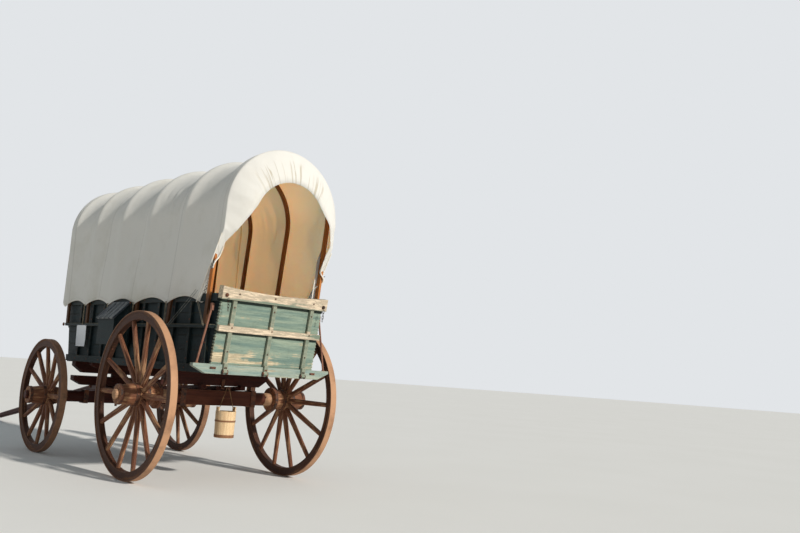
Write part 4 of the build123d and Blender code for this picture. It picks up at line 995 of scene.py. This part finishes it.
tie_y, pin_z = 0.5335, 1.245
tie_drop = [(0.5325, 1.446), (tie_y, 1.41), (tie_y, 1.34), (tie_y, 1.28), (tie_y, pin_z)]
tie_loops = [  # half width, Y and Z at the ends, and Y and Z in the middle
    (0.014, tie_y, 1.441, 0.5360, 1.438),
    (0.013, tie_y, 1.247, 0.5370, pin_z),
]
for side, name in ((1, "left"), (-1, "right")):
    ties = []
    for cusp in hem_cusps[1:-1]:
        for beside in (-0.008, 0.008):
            x = rear_axle_x + cusp + beside
            ties.append([(x, side * y, z) for y, z in tie_drop])
        x = rear_axle_x + cusp
        for half, end_y, end_z, y, z in tie_loops:
            ends = [(x - half, side * end_y, end_z), (x + half, side * end_y, end_z)]
            ties.append([ends[0], (x, side * y, z), ends[1]])
    rope(f"hem_ties_{name}", ties, 0.0026, "wagon", dull_rope)

    def on_edge(height, back, outward):
        """A point beside the cloth's turned rear edge, at a height above the ground."""
        corner = hem_cusps[-1] + flange - (height - cusp_z) * rear_rake
        return Vector((rear_axle_x + corner - back, side * (cloth_out + outward), height))

    heights = (1.432, 1.50, 1.60, 1.70, 1.80, 1.90, 1.96)
    bolt_rope = [on_edge(height, 0.004, 0.006) for height in heights]
    inner_rope = []
    for height in (1.440, 1.50, 1.56, 1.62, 1.66, 1.70, 1.74, 1.78, 1.82, 1.87):
        corner = hem_cusps[-1] + flange - (height - cusp_z) * rear_rake
        forward, inward = turned(corner - flange, height)
        inner_rope.append(on_edge(height, flange - forward + 0.005, 0.004 - inward))
    rope(f"bolt_rope_{name}", [bolt_rope, inner_rope], 0.0055, "wagon", rope_finish)
    lacing_holes = ((0.017, -0.038), (0.013, -0.010))
    zigzag = [on_edge(1.45 + 0.015 * step, *lacing_holes[step % 2]) for step in range(14)]
    turns = [on_edge(1.69 + 0.012 * step, (0.048, 0.008)[step % 2], 0.004) for step in range(7)]
    # The dark lacing cord paints the shade of the slots between the two ropes.
    rope(f"edge_lacing_{name}", [zigzag, turns], 0.0030, "wagon", dark_cord)


def from_axle(routes):
    """Routes whose X counts from the rear axle, in the wagon's frame."""
    return [[(rear_axle_x + x, y, z) for x, y, z in points] for points in routes]


stays = [
    [(-0.472, tie_y, 1.525), (-0.30, 0.5340, 1.40), (-0.049, tie_y, pin_z)],
    [(-0.440, tie_y, 1.532), (-0.27, 0.5340, 1.41), (-0.010, tie_y, pin_z)],
]
rope("guy_cords", from_axle(stays), 0.0018, "wagon", guy_cord)
hood_ends = [
    [(-0.500, 0.5345, 1.440), (-0.560, 0.5345, 1.34), (-0.616, tie_y, pin_z)],
    [(-0.478, 0.5345, 1.440), (-0.545, 0.5345, 1.34), (-0.602, tie_y, pin_z)],
]
rope("hood_ties", from_axle(hood_ends), 0.0020, "wagon", dull_rope)
rail_face_y = 0.5300
pin_xs = [*hem_cusps[1:-1], -0.030, -0.608]
pins = [Vector((rear_axle_x + x, side * rail_face_y, 1.246)) for x in pin_xs for side in (1, -1)]
corner = Vector((rear_axle_x + 2.226, rail_face_y, 1.247))
rivets("corner_eye", [corner], [(0, 1, 0)], 0.018, plain_iron, "wagon")
rivets("rail_pins", pins, [(0, 1 if pin.y > 0 else -1, 0) for pin in pins], 0.006, plain_iron, "wagon")

# The pail's bail is a brown three-strand rope. It goes through the ears and over the hook
# under the bolster, and a stopper knot inside each ear holds it.
bail_rope = cordage("bail_rope", (168, 134, 98), (112, 84, 58))
hook = Vector((rear_axle_x - 0.140, -0.025, 0.762))
ear_y, ear_z = 0.0682, 0.588
half = [(0.0900, ear_z), (0.0790, ear_z), (0.0700, ear_z + 0.0005), (0.0655, ear_z + 0.008), (0.038, 0.6795)]
half += [(0.0130, 0.7553), (0.0106, 0.764), (0.0076, 0.7704)]
route = [hook + Vector((0, y, z - hook.z)) for y, z in half] + [hook + Vector((0, 0, 0.0107))]
route += [hook + Vector((0, -y, z - hook.z)) for y, z in reversed(half)]
bail = rope("rope_bail", [route], 0.0036, "pail", bail_rope)
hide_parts("pail_rope")
knots = []
coil_radius = 0.0044
for side in (1, -1):
    coil = []
    for step in range(19):
        turn = step / 18 * 2 * math.tau
        along = ear_y - 0.0030 + 0.0060 * step / 18
        lift = ear_z - hook.z + coil_radius * math.sin(turn)
        coil.append(hook + Vector((coil_radius * math.cos(turn), side * along, lift)))
    knots.append(coil)
stoppers = rope("bail_knots", knots, 0.0034, "pail", bail_rope)
bail_line = drawn_points(route)

# A plain paper notice hangs on the left mid rail near the front, tacked at its top and
# curling at one lower corner. It is blank.
paper, start, skin = new_finish("blank_paper", {"Specular IOR Level": 0.25, "Roughness": 0.7})
place = start.node("ShaderNodeTexCoord", {}, {}, "Object")
place.cloud(9.0, 4.0, 0.55).mix(shade(250, 251, 253), shade(234, 237, 242)).into(skin["Base Color"])
roughen(skin, place.cloud(14.0, 3.0, 0.5), 0.2, 0.001)
notice_width, notice_height, notice_top = 0.225, 0.205, 1.238
shape = bmesh.new()
bmesh.ops.create_grid(shape, x_segments=16, y_segments=20, size=0.5)
for vert in shape.verts:
    across, down = vert.co.x + 0.5, 0.5 - vert.co.y
    curl = 0.030 * max(0.0, down + (1 - across) - 1.6) ** 1.5
    lift_off = 0.003 + 0.004 * math.sin(across * 3.0) * down + curl
    x = rear_axle_x + 1.640 + notice_width * across - 0.02 * down
    vert.co = Vector((x, rail_face_y + lift_off, notice_top - notice_height * down))
bmesh.ops.recalc_face_normals(shape, faces=shape.faces)
notice = link_piece("blank_notice", shape, paper)
thicken(notice, "paper_thickness", 0.0012)
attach(notice, "wagon")
tacks = [(rear_axle_x + x, rail_face_y + 0.0035, 1.234) for x in (1.66, 1.845)]
rivets("notice_tacks", tacks, [(0, 1, 0)] * 2, 0.004, plain_iron, "wagon")
